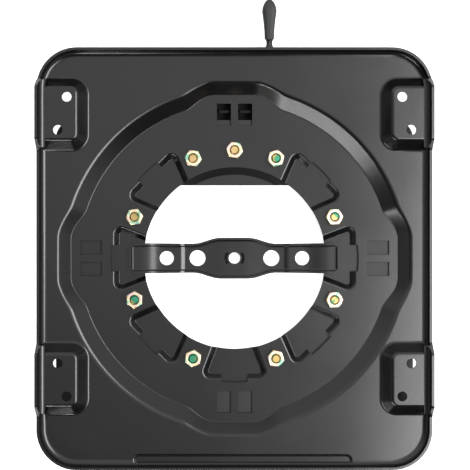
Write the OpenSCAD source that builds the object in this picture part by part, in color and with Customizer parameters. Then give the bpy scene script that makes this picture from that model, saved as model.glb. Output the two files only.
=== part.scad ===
// Swivel base for a camper seat: +Z up towards the seat, +Y towards the release lever.
// The origin is on the swivel axis, at the underside of the lower plate.
// The latch is drawn released, with its teeth just under the upper plate.

/* [Stack] */
// Thickness of the sheet of both pressed plates
sheet_t = 3; // [2.5:0.1:3.4]
// Thickness of each plastic glide ring
glide_t = 1.5; // [1.2:0.1:2]
// Height of the lower plate's raised centre above the floor, at its underside
plateau_h = 15.5; // [15:0.5:18]
// Thickness of the clamp ring
ring_t = 3.5; // [3:0.1:4]

/* [Upper plate] */
// Face beyond the dish at the left and right
face_side = 19; // [17:1:30]
// Face beyond the dish at the front and back
face_end = 34; // [32:1:45]
// Radius of the four corners
plate_corner_r = 45; // [30:1:60]
// Height of the lip above the face
lip_h = 11; // [7:1:15]
// Inside radius of the bend under the lip
lip_bend_r = 4; // [2:0.5:5]
// Radius of the hole in the middle
hole_r = 103; // [100:1:106]

/* [Seat pads] */
// Height of a pad above the face
pad_h = 14; // [10:1:16]
// Narrow pattern of seat bolts, in from the left and right edges
narrow_side = 34; // [32:1:36]
// Narrow pattern of seat bolts, in from the front and back edges
narrow_end = 69; // [66:1:72]
// Wide pattern of seat bolts, in from the left and right edges
wide_side = 24; // [22:1:26]
// Wide pattern of seat bolts, in from the front and back edges
wide_end = 105.5; // [103:0.5:109]
// Distance from the swivel axis forward to the middle of both patterns
seat_shift = 13.5; // [8:0.5:16]
// Diameter of a seat bolt hole
seat_hole_d = 11; // [9:0.5:12]
// Pad foot beyond its bolts, along the plate and towards the middle
pad_margin = 22; // [20:0.5:23]
// Horizontal run of a pad's sloping wall
pad_run = 11; // [9:0.5:12]
// Radius of a pad's foot at its inner corners
pad_corner_r = 18; // [14:1:22]

/* [Dish] */
// Depth of the dish below the face
dish_depth = 13; // [11:0.5:15]
// Round dish floor beyond the windows
floor_over = 1; // [1:0.5:3]
// Flat of a lobe beyond the round dish floor
lobe_over = 9; // [7:0.5:11]
// Horizontal run of the dish wall
dish_run = 16; // [14:0.5:16]
// Bend radius at the foot of the dish wall
dish_low_r = 2; // [1:0.5:3]
// Bend radius at the head of the dish wall
dish_high_r = 7; // [5:0.5:8]

/* [Recesses] */
// Half width of a recess floor at the hole's edge
recess_half_w = 20.5; // [18:0.5:23]
// Angle of a recess side to its axis
recess_angle = 21; // [16:1:24]
// Length of a recess floor, out from the hole
recess_l = 28; // [25:1:30]
// Horizontal run of a recess wall
recess_run = 5.5; // [5:0.5:6.5]
// Half width of the pilot tab
tab_half_w = 15; // [12:0.5:18]
// Pilot tab beyond the straight edge of its recess floor
tab_over = 9.5; // [8:0.5:10]

/* [Latch windows] */
// Width of a window, along the circle
window_w = 16; // [14:0.5:18]
// Length of a window, away from the axis
window_l = 25; // [23:0.5:26]
// Width of the bar between the two windows of a pair
window_gap = 8; // [6:0.5:10]
// Windows beyond the end of a pilot tab
window_out = 9.5; // [9:0.5:11.5]

/* [Ring bolts] */
// Circle of ring bolts beyond the hole's edge
bolt_out = 19; // [17:0.5:20]
// Thread diameter of a ring bolt
bolt_d = 10; // [8:0.5:10]
// Width of a nut or bolt head across its flats
nut_flats = 17; // [15:0.5:18]
// Height of a nut
nut_h = 8.4; // [6:0.2:9]
// Height of a bolt head
head_h = 6.4; // [5:0.2:7]
// Diameter of a spacer
spacer_d = 18; // [16:0.5:20]

/* [Clamp ring] */
// Clamp ring beyond the end of a pilot tab
ring_over = 14.5; // [13:0.5:15.5]
// Round edge of its hole beyond the hole in the upper plate
ring_hole_over = 3.5; // [2:0.5:7]
// Straight edge of its hole, in from the edge of the hole in the upper plate
ring_chord_in = 20; // [10:1:28]

/* [Lower plate] */
// Raised centre beyond the dish floor, at its top
plateau_over = 4; // [3.5:0.5:5]
// Horizontal run of its sloping wall
plateau_run = 9; // [8:0.5:10]
// Shelf beyond the raised centre at the left and right
shelf_side = 16; // [14:1:20]
// Shelf beyond the raised centre at the front and back
shelf_end = 33; // [32:1:38]
// Length along each side of the two cut corners
base_cut = 76; // [60:1:86]
// Radius of the shelf's corners
base_corner_r = 20; // [12:1:26]
// Base bolts in from the left and right edges
base_bolt_side = 23; // [19:1:30]
// Base bolts in from the front and back edges
base_bolt_end = 92; // [88:1:102]
// Diameter of a base bolt hole
base_hole_d = 11; // [9:0.5:12]

/* [Cross strap] */
// Thickness of the strap
strap_t = 2.5; // [2:0.1:3]
// Each end beyond the edge of the hole in the upper plate
strap_over = 16; // [14:0.5:18]
// Width at the ends
strap_w = 34.5; // [32:0.5:37]
// Width in the middle
strap_mid_w = 46.5; // [42:0.5:52]
// Height of the turned-up sides above the strap's face
strap_lip_h = 5; // [3:0.5:6]
// Drop of the strap from its seats to the outer holes
strap_drop = 3.5; // [2:0.5:5]
// Further drop inside the crease
strap_step = 1.5; // [0.5:0.5:2.5]
// Outer holes in from the edge of the hole in the upper plate
strap_outer_in = 26; // [24:0.5:28]
// Distance between an outer and an inner hole
strap_pitch = 35; // [33:0.5:37]
// Diameter of the outer holes
strap_outer_d = 16; // [13:0.5:18]
// Diameter of the inner holes
strap_inner_d = 18; // [14:0.5:20]
// Diameter of the hole in the middle
strap_mid_d = 13; // [10:0.5:15]

/* [Latch] */
// Distance from the foot of the raised centre to the pivot pin
pin_out = 9; // [8.5:0.5:11]
// Height of the pivot pin
pin_z = 10; // [9.8:0.1:10.4]
// Diameter of the pivot pin
pin_d = 8; // [7:0.5:9]
// Swing of the latch from released to locked, in degrees
latch_travel = 9; // [8.6:0.1:9.4]
// Thickness of the latch plate
latch_t = 3; // [2.5:0.1:3.2]
// Distance from the inner end of the windows to the middle of the teeth, locked
tooth_in = 18; // [16:0.5:19]
// Width of a tooth
tooth_w = 14; // [11:0.5:15]
// Height of the locked teeth above the dish floor
tooth_over = 1; // [0.5:0.1:1.4]
// Wire diameter of the latch spring
wire_d = 1.6; // [1.2:0.1:1.8]

/* [Lever] */
// Distance of the lever from the middle, side to side
lever_x = 39.5; // [38:0.5:44]
// Width of the arm at the latch
arm_w = 9; // [8:0.5:10]
// Width of the arm at its waist
arm_waist_w = 6.3; // [5:0.1:7]
// Thickness of the arm
arm_t = 4; // [3:0.5:5]
// Distance from the upper plate's edge to the grip
grip_out = 14; // [12:0.5:17]
// Length of the grip
grip_l = 45; // [40:1:48]
// Width of the grip at its thickest
grip_w = 15.5; // [14:0.5:17]
// Downward tilt of the grip against the latch plate, in degrees
grip_droop = 2.5; // [2:0.5:3]

/* [Hidden] */
$fn = 96;

// Overshoot of a cut beyond the face that it opens
cut = 1;
// Running gap between curved faces of different bodies
run_gap = 0.3;
// Gap round a bolt, rivet or pin in its hole
fit_gap = 0.05;
// Steps along a bend, seen in section
bend_steps = 3;
// Steps round the corner of an outline
corner_steps = 4;
// Steps round the dish
dish_steps = 96;

// Heights of the stack, from the floor up
plateau_top = plateau_h + sheet_t;
ring_top = plateau_h - glide_t;
ring_bot = ring_top - ring_t;
dish_bot = plateau_top + glide_t;
dish_top = dish_bot + sheet_t;
recess_top = ring_top + sheet_t;
recess_depth = dish_top - recess_top;
face_top = dish_top + dish_depth;
face_bot = face_top - sheet_t;

// Radial chain, from the hole outwards
recess_reach = hole_r + recess_l;
tab_reach = recess_reach + tab_over;
window_in = tab_reach + window_out;
dish_r = window_in + window_l + floor_over;
lobe_reach = dish_r + lobe_over;
plate_w = 2 * (lobe_reach + dish_run + face_side);
plate_l = 2 * (lobe_reach + dish_run + face_end);
seat_narrow_w = plate_w - 2 * narrow_side;
seat_narrow_l = plate_l - 2 * narrow_end;
seat_wide_w = plate_w - 2 * wide_side;
seat_wide_l = plate_l - 2 * wide_end;
bolt_circle_r = hole_r + bolt_out;
ring_r = tab_reach + ring_over;
ring_hole_r = hole_r + ring_hole_over;
ring_chord = hole_r - ring_chord_in;
strap_reach = hole_r + strap_over;
strap_outer_x = hole_r - strap_outer_in;
strap_inner_x = strap_outer_x - strap_pitch;

// The pilot tabs turn inside the collar of the upper glide ring, with a wall of this run round them
tab_run = 1;
collar_in_r = tab_reach + tab_run + sheet_t + run_gap;
collar_t = 1.6;
base_hole_r = collar_in_r + collar_t + run_gap;

// Raised centre of the lower plate, its shelf, and the slots for the teeth
plateau_r = dish_r + plateau_over;
plateau_low_r = 3;
plateau_high_r = 4;
glide_in = 3;
glide_r = plateau_r - glide_in;
base_half_w = plateau_r + plateau_run + shelf_side;
base_half_l = plateau_r + plateau_run + shelf_end;
base_bolt_w = 2 * (base_half_w - base_bolt_side);
base_bolt_l = 2 * (base_half_l - base_bolt_end);
slot_rail = 6.5;
slot_over = 2.5;
slot_in = window_in + slot_rail;
slot_out = window_in + window_l + slot_over;

// Steps round the corner of the whole plate, and round a recess or the back step
plate_steps = 9;
recess_steps = 2;
// Facets of large circles, bores, rivets and the grip
large_fn = 180;
bore_fn = 48;
rivet_fn = 32;
grip_fn = 24;

// Angles at which a lobe's flat ends and the round dish begins
lobe_flat_a = 6.5;
lobe_end_a = 17;
// Radius of a recess floor's outer corners
recess_corner_r = 3;
// Bend radii of a recess wall
recess_low_r = 0.8;
recess_high_r = 3.4;
// How far the recess shapes run on over the hole before it is cut
recess_over = 12;
// Bend radii of a pad
pad_low_r = 4;
pad_high_r = 5;
// Shallow step pressed along the lip at the back
step_half_l = 122;
step_shift = 9;
step_w = 12;
step_depth = 2;
step_corner_r = 6;
step_bend_r = 0.5;
recess_turns = [0, 45, 135, 180, 225, 270, 315];
lobe_turns = [0, 90, 180, 270];
bolt_turns = [90, 22.5, 67.5, 112.5, 157.5, 202.5, 247.5, 292.5, 337.5];
// How far each nut stopped turned, in degrees
nut_turns = [20, 40, 8, 0, 30, 7, 15, 55, 25];

// Height of the bevel that turns a hexagon's corners off, and how far it cuts into the face
hex_bevel_h = 0.9;
hex_face_in = 0.3;
// Depth of a nut's countersink, and the bolt's end above the nut
nut_sink = 1.2;
bolt_over = 2.2;
bolt_chamfer = 1;

// Latch plate, drawn locked, when it lies level
pin_y = plateau_r + plateau_run + pin_out;
tooth_y = window_in + tooth_in;
latch_drop = 3;
latch_bot = pin_z - latch_drop;
latch_top = latch_bot + latch_t;
cheek_r = pin_d / 2 + 2.6;
cheek_t = 3;
cheek_over = 3.5;
cheek_out = window_gap / 2 + window_w + cheek_over;
tooth_lead = 1.5;
tab_out = 10;
tab_l = 19;
tab_y = pin_y + tab_out;
tab_end_y = tab_y + tab_l;
arm_rivet_in = 4;
arm_rivet_y = [tab_y + arm_rivet_in, tab_end_y - arm_rivet_in];
// Room round the latch in the wall of the raised centre
door_gap = 2;
door_over = 5;

// Ears that carry the pin
ear_gap = 1.5;
ear_in = cheek_out + ear_gap;
ear_t = 2.5;
ear_out = ear_in + ear_t;
ear_foot = 17;
ear_half_l = 8;
ear_rivet_in = 6;
ear_rivet_y = 4.5;
// Rivets: shank radius, and the radius and height of their low heads
rivet_r = 2.5;
rivet_head_r = 4.5;
rivet_head_h = 1.6;
// Pin head, its clip, and the groove that the clip sits in
pin_head_r = pin_d / 2 + 2.2;
pin_head_t = 2.5;
pin_end = 3;
pin_play = 0.1;
clip_r = pin_d / 2 + 2.4;
clip_t = 1;
groove_depth = 0.8;
groove_w = clip_t + 2 * pin_play;
// Half length of the slot in an ear's foot, under the pin's head or clip
relief_half_l = sqrt(pow(clip_r, 2) - pow(pin_z - sheet_t - ear_t, 2)) + run_gap;

// Torsion spring on the pin
coil_r = pin_d / 2 + wire_d / 2 + 0.7;
coil_turns = 4.5;
coil_pitch = wire_d + 0.1;
coil_fn = 18;
wire_fn = 8;
leg_l = 17;
leg_start = 3;
leg_gap = 0.1;

// Arm from the latch to the grip
grip_y = plate_l / 2 + grip_out;
arm_in_grip = 16;
arm_bend_y = tab_end_y + 2;
arm_end_y = grip_y + arm_in_grip;
arm_lip_y = plate_l / 2 - 3;
arm_waist_y = plate_l / 2 + 7.5;
arm_root_w = 7.4;
arm_root_y = grip_y - 0.6;
// Grip: half width at its inner end, where it is widest, thickness over width, and squareness
grip_root_half = 5.2;
grip_wide_at = 0.69;
grip_swell = 1.7;
grip_flat = 0.78;
grip_square = 3.2;
grip_steps = 14;
grip_blunt = 0.03;

// Shape of the strap along its length
strap_low = recess_top - strap_drop - strap_step;
strap_hump = 1;
strap_hump_x = 15;
strap_hump_run = 10;
strap_crease_out = 15;
strap_crease_run = 4;
strap_flat_out = 11;
strap_seat_in = 2;
strap_bulge_x = 21;
strap_waist = 0.8;
strap_bend_r = 4.5;
strap_bend_steps = 3;
// Cable bush under the strap, and the slots that its hooks clip into
bush_r = 14.5;
bush_t = 2.5;
slot_r = [8.6, 11.4];
slot_half = 5;
hook_gap = 0.2;

// Outline of round corners, each [centre x, centre y, radius, first angle, last angle], grown by d
function rounded(corners, d, steps = corner_steps) = [
    for (c = corners, i = [0:steps])
    let (a = c[3] + (c[4] - c[3]) * i / steps)
    [c[0] + (c[2] + d) * cos(a), c[1] + (c[2] + d) * sin(a)]];

// Corners of a rectangle from [x0, x1] and [y0, y1]
function box_corners(x, y, r) = [
    [x[1] - r, y[0] + r, r, -90, 0],
    [x[1] - r, y[1] - r, r, 0, 90],
    [x[0] + r, y[1] - r, r, 90, 180],
    [x[0] + r, y[0] + r, r, 180, 270]];

// Section through a pressed step: [distance, height] from the low face over a wall to the high face.
// With under, it is the other side of the sheet.
function bend(run, rise, low_r, high_r, under = 0) =
    let (a = atan2(rise, run), shift = under * tan(a / 2), lr = low_r + under, hr = high_r - under)
    concat(
        [for (i = [0:bend_steps]) let (b = a * i / bend_steps)
            [shift + lr * (sin(b) - tan(a / 2)), lr * (1 - cos(b)) - under]],
        [for (i = [bend_steps:-1:0]) let (b = a * i / bend_steps)
            [run + shift + hr * (tan(a / 2) - sin(b)), rise - under - hr * (1 - cos(b))]]);

function last(list) = list[len(list) - 1];

// Each point of an outline at one height
function lift(outline, z) = [for (p = outline) [p[0], p[1], z]];

// Solid through a stack of outlines, lowest first, all with as many points
module loft(rings) {
    n = len(rings[0]);
    m = len(rings);
    polyhedron(
        points = [for (r = rings) each r],
        faces = concat(
            [[for (i = [0:n - 1]) i]],
            [[for (i = [n - 1:-1:0]) (m - 1) * n + i]],
            [for (k = [0:m - 2], i = [0:n - 1])
                let (a = k * n + i, b = k * n + (i + 1) % n)
                each [[a, a + n, b], [b, a + n, b + n]]]));
}

module place(turns) {
    for (t = turns)
        rotate(t)
        children();
}

// Distance from the axis to the foot of the dish wall, at angle a
function dish_edge(a) =
    let (b = abs((a + 45) % 90 - 45), blend = min(max((b - lobe_flat_a) / (lobe_end_a - lobe_flat_a), 0), 1),
        ease = blend * blend * (3 - 2 * blend))
    (1 - ease) * lobe_reach / cos(min(b, lobe_end_a)) + ease * dish_r;

function dish_ring(d) = [
    for (i = [0:dish_steps - 1])
    let (a = 360 * i / dish_steps, r = dish_edge(a) + d)
    [r * cos(a), r * sin(a)]];

// Solid between the dish surface and a height above or below it
module dish_solid(under, top) {
    section = bend(dish_run, dish_depth, dish_low_r, dish_high_r, under);
    loft(concat(
        [for (p = section) lift(dish_ring(p[0]), dish_top + p[1])],
        [lift(dish_ring(last(section)[0]), top)]));
}

// Floor of one recess, pointing along +X, open to the hole
function recess_corners() =
    let (r = recess_corner_r, s = 90 + recess_angle, x = recess_reach - r, x_in = hole_r - recess_over,
        y = recess_half_w + tan(recess_angle) * (x - hole_r) - r / cos(recess_angle),
        y_in = recess_half_w + tan(recess_angle) * (x_in - hole_r))
    [[x, -y, r, -s, 0], [x, y, r, 0, s], [x_in, y_in, 0, s, 180], [x_in, -y_in, 0, 180, 360 - s]];

module recess_solid(under, top) {
    section = bend(recess_run, recess_depth, recess_low_r, recess_high_r, under);
    loft(concat(
        [for (p = section) lift(rounded(recess_corners(), p[0], recess_steps), recess_top + p[1])],
        [lift(rounded(recess_corners(), last(section)[0], recess_steps), top)]));
    edge = under > 0 ? tab_run + sheet_t : 0;
    linear_extrude_from(recess_top - under, top)
        intersection() {
            translate([recess_reach - cut, -tab_half_w - edge])
                square([tab_reach - recess_reach + edge + 2 * cut, 2 * (tab_half_w + edge)]);
            circle(r = tab_reach + edge);
        }
}

module linear_extrude_from(z0, z1) {
    translate([0, 0, z0])
        linear_extrude(z1 - z0)
        children();
}

function pad_box(side, front) =
    let (wide = seat_wide_l / 2 - pad_margin, narrow = seat_narrow_l / 2 + pad_margin,
        y = [seat_shift + front * narrow, seat_shift + front * wide],
        x = [seat_narrow_w / 2 - pad_margin, plate_w])
    box_corners(side > 0 ? x : [-x[1], -x[0]], [min(y), max(y)], pad_corner_r);

// Everything below the plate's face or its pads, moved up or down by h
module below_face(h, under = 0) {
    translate([-plate_w, -plate_l, -cut])
        cube([2 * plate_w, 2 * plate_l, face_top + h + cut]);
    section = bend(pad_run, pad_h, pad_low_r, pad_high_r, under);
    for (side = [-1, 1], front = [-1, 1]) {
        corners = pad_box(side, front);
        loft(concat(
            [lift(rounded(corners, -section[0][0]), face_bot - lip_h)],
            [for (p = section) lift(rounded(corners, -p[0]), face_top + h + under + p[1])]));
    }
}

// Plate outline grown by d
function plate_outline(d) = rounded(
    box_corners([-plate_w / 2, plate_w / 2], [-plate_l / 2, plate_l / 2], plate_corner_r), d, plate_steps);

// Solid inside the lip, from the face up
module tray_void() {
    section = [for (i = [0:bend_steps]) let (b = 90 * i / bend_steps)
        [lip_bend_r * (sin(b) - 1), lip_bend_r * (1 - cos(b))]];
    lip_top = face_top + pad_h + lip_h + cut;
    loft(concat(
        [for (p = section) lift(plate_outline(p[0] - sheet_t), face_top + p[1])],
        [lift(plate_outline(-sheet_t), lip_top)]));
}

// Whole plate with its lip as a block
module plate_block() {
    r = lip_bend_r + sheet_t;
    loft(concat(
        [for (i = [0:bend_steps]) let (b = 90 * i / bend_steps)
            lift(plate_outline(r * (sin(b) - 1)), face_bot + r * (1 - cos(b)))],
        [lift(plate_outline(0), face_top + pad_h + lip_h)]));
}

function step_corners() =
    let (y = sheet_t - plate_l / 2)
    box_corners([step_shift - step_half_l, step_shift + step_half_l], [y, y + step_w], step_corner_r);

module step_solid(under, top) {
    section = bend(step_depth, step_depth, step_bend_r, sheet_t + step_bend_r, under);
    outline = [for (p = section) rounded(step_corners(), p[0] - step_depth, recess_steps)];
    loft(concat(
        [for (i = [0:len(section) - 1]) lift(outline[i], face_top - step_depth + section[i][1])],
        [lift(last(outline), top)]));
}

// The pair of latch windows along +X
module window_pair(z0, z1) {
    for (side = [-1, 1])
        translate([window_in, side * (window_gap + window_w) / 2 - window_w / 2, z0])
        cube([window_l, window_w, z1 - z0]);
}

module seat_holes() {
    for (side = [-1, 1], front = [-1, 1], p = [[seat_narrow_w, seat_narrow_l], [seat_wide_w, seat_wide_l]])
        translate([side * p[0] / 2, seat_shift + front * p[1] / 2, face_top])
        cylinder(d = seat_hole_d, h = pad_h + cut);
}

module bolt_holes(z0, z1) {
    place(bolt_turns)
        translate([bolt_circle_r, 0, z0])
        cylinder(r = bolt_d / 2 + fit_gap, h = z1 - z0);
}

// The pressed sheet, before any hole is pierced, at its exact width and length
module pressed_sheet() {
    resize([plate_w, plate_l, 0])
    difference() {
        union() {
            difference() {
                intersection() {
                    plate_block();
                    below_face(lip_h);
                }
                difference() {
                    tray_void();
                    below_face(0);
                }
                below_face(-sheet_t, sheet_t);
            }
            dish_solid(sheet_t, face_top - sheet_t / 2);
            place(recess_turns)
                recess_solid(sheet_t, dish_top - sheet_t / 2);
            step_solid(sheet_t, face_top - sheet_t / 2);
        }
        dish_solid(0, face_top + cut);
        place(recess_turns)
            recess_solid(0, dish_top + cut);
        step_solid(0, face_top + cut);
        translate([0, 0, ring_top - cut])
            cylinder(r = hole_r - recess_over / 2, h = face_top);
    }
}

module top_plate() {
    color([0.22, 0.22, 0.23])
    difference() {
        pressed_sheet();
        translate([0, 0, ring_top - cut])
            cylinder(r = hole_r, h = face_top, $fn = large_fn);
        place(lobe_turns)
            window_pair(dish_bot - cut, dish_top + cut);
        bolt_holes(dish_bot - cut, dish_top + cut);
        seat_holes();
    }
}

// Section of the raised centre, on one side of the sheet, from the outside in
function plateau_section(under) = [
    for (p = bend(plateau_run, plateau_h, plateau_low_r, plateau_high_r, under))
    [plateau_r + plateau_run - p[0], sheet_t + p[1]]];

// Outline of the shelf, with both of its corners at the lever side cut off
module base_outline() {
    x = base_half_w;
    y = base_half_l;
    offset(r = base_corner_r)
        offset(delta = -base_corner_r)
        polygon([
            [-x, -y], [x, -y], [x, y - base_cut], [x - base_cut, y], [base_cut - x, y], [-x, y - base_cut]]);
}

// The pair of slots that the teeth rise through
module tooth_slots(z0, z1) {
    rotate(90)
        for (side = [-1, 1])
            translate([slot_in, side * (window_gap + window_w) / 2 - window_w / 2, z0])
            cube([slot_out - slot_in, window_w, z1 - z0]);
}

module base_plate() {
    top = plateau_section(0);
    under = plateau_section(sheet_t);
    foot = top[0][0];
    color([0.16, 0.16, 0.17])
    difference() {
        union() {
            linear_extrude(sheet_t)
                difference() {
                    base_outline();
                    circle(r = foot, $fn = large_fn);
                }
            rotate_extrude($fn = large_fn)
                polygon(concat(
                    [[foot + fit_gap, 0], [foot + fit_gap, sheet_t]],
                    top,
                    [[base_hole_r, plateau_top], [base_hole_r, plateau_h]],
                    [for (i = [len(under) - 1:-1:0]) under[i]]));
        }
        for (side = [-1, 1], front = [-1, 1])
            translate([side * base_bolt_w / 2, front * base_bolt_l / 2, -cut])
            cylinder(d = base_hole_d, h = sheet_t + 2 * cut);
        tooth_slots(plateau_h - cut, plateau_top + cut);
        translate([-cheek_out - door_gap, slot_out - door_over, -cut])
            cube([2 * (cheek_out + door_gap), pin_y - door_gap - slot_out + door_over, plateau_h]);
        rivet_holes();
    }
}

module ear_rivet_places() {
    for (side = [-1, 1], end = [-1, 1])
        translate([side * (ear_in + ear_foot - ear_rivet_in), pin_y + end * ear_rivet_y, 0])
        children();
}

module rivet_holes() {
    ear_rivet_places()
        translate([0, 0, -cut])
        cylinder(r = rivet_r + fit_gap, h = sheet_t + ear_t + 2 * cut, $fn = rivet_fn);
}

module clamp_ring() {
    color([0.3, 0.3, 0.31])
    difference() {
        translate([0, 0, ring_bot])
            cylinder(r = ring_r, h = ring_t, $fn = large_fn);
        intersection() {
            translate([0, 0, ring_bot - cut])
                cylinder(r = ring_hole_r, h = ring_t + 2 * cut, $fn = large_fn);
            translate([-ring_r, -ring_r, ring_bot - 2 * cut])
                cube([2 * ring_r, ring_r + ring_chord, ring_t + 4 * cut]);
        }
        bolt_holes(ring_bot - cut, ring_top + cut);
    }
}

module upper_glide_ring() {
    color([0.12, 0.12, 0.12])
    difference() {
        union() {
            translate([0, 0, plateau_top])
                cylinder(r = glide_r, h = glide_t, $fn = large_fn);
            translate([0, 0, ring_top + run_gap])
                cylinder(r = collar_in_r + collar_t, h = dish_bot - ring_top - run_gap, $fn = large_fn);
        }
        translate([0, 0, ring_top - cut])
            cylinder(r = collar_in_r, h = dish_bot, $fn = large_fn);
        tooth_slots(plateau_top - cut, dish_bot + cut);
    }
}

module lower_glide_ring() {
    color([0.12, 0.12, 0.12])
    difference() {
        translate([0, 0, ring_top])
            cylinder(r = ring_r - cut, h = glide_t, $fn = large_fn);
        translate([0, 0, ring_top - cut])
            cylinder(r = base_hole_r, h = glide_t + 2 * cut, $fn = large_fn);
    }
}

// Hexagon standing on z = 0, with its corners turned off at the foot or the head
module hexagon(h, at_foot, at_head) {
    corner = nut_flats / 2 / cos(30) + fit_gap;
    face = nut_flats / 2 - hex_face_in;
    foot = at_foot ? [[face, 0], [corner, hex_bevel_h]] : [[corner, 0]];
    head = at_head ? [[corner, h - hex_bevel_h], [face, h]] : [[corner, h]];
    intersection() {
        cylinder(r = corner - fit_gap, h = h, $fn = 6);
        rotate_extrude($fn = bore_fn)
            polygon(concat([[0, 0]], foot, head, [[0, h]]));
    }
}

module ring_bolts() {
    tip = dish_top + nut_h + bolt_over;
    color([0.78, 0.7, 0.48])
    place(bolt_turns)
        translate([bolt_circle_r, 0, ring_bot - head_h]) {
            hexagon(head_h, true, false);
            translate([0, 0, head_h - cut])
                cylinder(d = bolt_d, h = tip - bolt_chamfer - ring_bot + cut, $fn = bore_fn);
            translate([0, 0, head_h + tip - bolt_chamfer - ring_bot])
                cylinder(r1 = bolt_d / 2, r2 = bolt_d / 2 - bolt_chamfer, h = bolt_chamfer, $fn = bore_fn);
        }
}

module ring_nuts() {
    color([0.86, 0.78, 0.55])
    for (i = [0:len(bolt_turns) - 1])
        rotate(bolt_turns[i])
        translate([bolt_circle_r, 0, dish_top])
        rotate(nut_turns[i])
        difference() {
            hexagon(nut_h, false, true);
            translate([0, 0, -cut])
                cylinder(r = bolt_d / 2 + fit_gap, h = nut_h + 2 * cut, $fn = bore_fn);
            translate([0, 0, nut_h - nut_sink])
                cylinder(d1 = bolt_d, d2 = bolt_d + 2 * (nut_sink + cut), h = nut_sink + cut, $fn = bore_fn);
        }
}

module ring_spacers() {
    color([0.7, 0.7, 0.7])
    place(bolt_turns)
        translate([bolt_circle_r, 0, ring_top])
        difference() {
            cylinder(d = spacer_d, h = dish_bot - ring_top, $fn = bore_fn);
            translate([0, 0, -cut])
                cylinder(r = bolt_d / 2 + fit_gap, h = dish_bot, $fn = bore_fn);
        }
}

// Height of the strap's underside along one half, from the middle out
function strap_path() = [
    [0, strap_low + strap_hump],
    [strap_hump_x, strap_low + strap_hump],
    [strap_hump_x + strap_hump_run, strap_low],
    [strap_inner_x + strap_crease_out, strap_low],
    [strap_inner_x + strap_crease_out + strap_crease_run, strap_low + strap_step],
    [strap_outer_x + strap_flat_out, strap_low + strap_step],
    [hole_r - strap_seat_in, recess_top],
    [strap_reach + cut, recess_top]];

// Half the strap's width along one half, from the middle out
function strap_side() = [
    [0, strap_mid_w / 2],
    [strap_bulge_x, strap_mid_w / 2],
    [strap_inner_x, strap_w / 2 - strap_waist],
    [strap_reach, strap_w / 2]];

// Quarter arc of radius r about [x, y], from angle a on
function quarter(x, y, r, a, turn = 90) = [
    for (i = [0:strap_bend_steps])
    let (b = a + turn * i / strap_bend_steps)
    [x + r * cos(b), y + r * sin(b)]];

// Section across the tray at station x: floor, round bends and upright sides
function strap_ring(x) =
    let (half = lookup(abs(x), strap_side()), z = lookup(abs(x), strap_path()), top = strap_t + strap_lip_h,
        c = half - strap_bend_r, inner_r = strap_bend_r - strap_t,
        section = concat(
            quarter(c, strap_bend_r, strap_bend_r, -90),
            [[half, top], [half - strap_t, top]],
            quarter(c, strap_bend_r, inner_r, 0, -90),
            quarter(-c, strap_bend_r, inner_r, -90, -90),
            [[strap_t - half, top], [-half, top]],
            quarter(-c, strap_bend_r, strap_bend_r, 180)))
    [for (p = section) [x, p[0], z + p[1]]];

// Stations along one half of the tray, at every corner of its side view and its plan
function strap_stations() = [
    0, strap_hump_x, strap_bulge_x, strap_hump_x + strap_hump_run, strap_inner_x,
    strap_inner_x + strap_crease_out, strap_inner_x + strap_crease_out + strap_crease_run,
    strap_outer_x + strap_flat_out, hole_r - strap_seat_in, strap_reach - strap_bend_r];

// Turned-up end of the tray, between two relieved corners
module strap_end() {
    x = strap_reach - strap_bend_r;
    top = strap_t + strap_lip_h;
    translate([0, strap_w / 2 - strap_bend_r, recess_top])
        rotate([90, 0, 0])
        linear_extrude(strap_w - 2 * strap_bend_r)
        polygon(concat(
            quarter(x, strap_bend_r, strap_bend_r, -90),
            [[strap_reach, top], [strap_reach - strap_t, top]],
            quarter(x, strap_bend_r, strap_bend_r - strap_t, 0, -90)));
}

// The bent tray, before its holes are pierced, at its exact length and width
module strap_tray() {
    half = strap_stations();
    stations = concat([for (i = [len(half) - 1:-1:1]) -half[i]], half);
    resize([2 * strap_reach, strap_mid_w, 0])
        union() {
            loft([for (x = stations) strap_ring(x)]);
            strap_end();
            mirror([1, 0, 0])
                strap_end();
        }
}

module cross_strap() {
    color([0.2, 0.2, 0.21])
    difference() {
        strap_tray();
        for (side = [-1, 1]) {
            translate([side * strap_outer_x, 0, 0])
                cylinder(d = strap_outer_d, h = face_top);
            translate([side * strap_inner_x, 0, 0])
                cylinder(d = strap_inner_d, h = face_top);
        }
        cylinder(d = strap_mid_d, h = face_top);
        bush_slots(hook_gap);
    }
}

// The two curved slots that hold the cable bush
module bush_slots(grow) {
    intersection() {
        difference() {
            cylinder(r = slot_r[1] + grow, h = face_top, $fn = bore_fn);
            translate([0, 0, -cut])
                cylinder(r = slot_r[0] - grow, h = face_top + 2 * cut, $fn = bore_fn);
        }
        translate([-bush_r, -slot_half - grow, 0])
            cube([2 * bush_r, 2 * (slot_half + grow), face_top]);
    }
}

module cable_bush() {
    bottom = strap_low + strap_hump;
    color([0.05, 0.05, 0.05])
    difference() {
        union() {
            translate([0, 0, bottom - bush_t])
                cylinder(r = bush_r, h = bush_t);
            intersection() {
                bush_slots(0);
                translate([0, 0, bottom - cut])
                    cylinder(r = bush_r, h = strap_t - hook_gap + cut);
            }
        }
        translate([0, 0, bottom - bush_t - cut])
            cylinder(d = strap_mid_d, h = bush_t + strap_t + 2 * cut);
    }
}

// Turns what is drawn locked about the pivot pin to where it stands released
module released() {
    translate([0, pin_y, pin_z])
        rotate([latch_travel, 0, 0])
        translate([0, -pin_y, -pin_z])
        children();
}

module along_x(x0, x1, r) {
    translate([x0, pin_y, pin_z])
        rotate([0, 90, 0])
        cylinder(r = r, h = x1 - x0, $fn = bore_fn);
}

// Outline of a tooth, standing on the latch plate
module tooth_outline() {
    w = tooth_w / 2;
    h = dish_top + tooth_over - latch_bot;
    low = h - tooth_lead;
    polygon([[-w, 0], [w, 0], [w, low], [w - tooth_lead, h], [tooth_lead - w, h], [-w, low]]);
}

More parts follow.
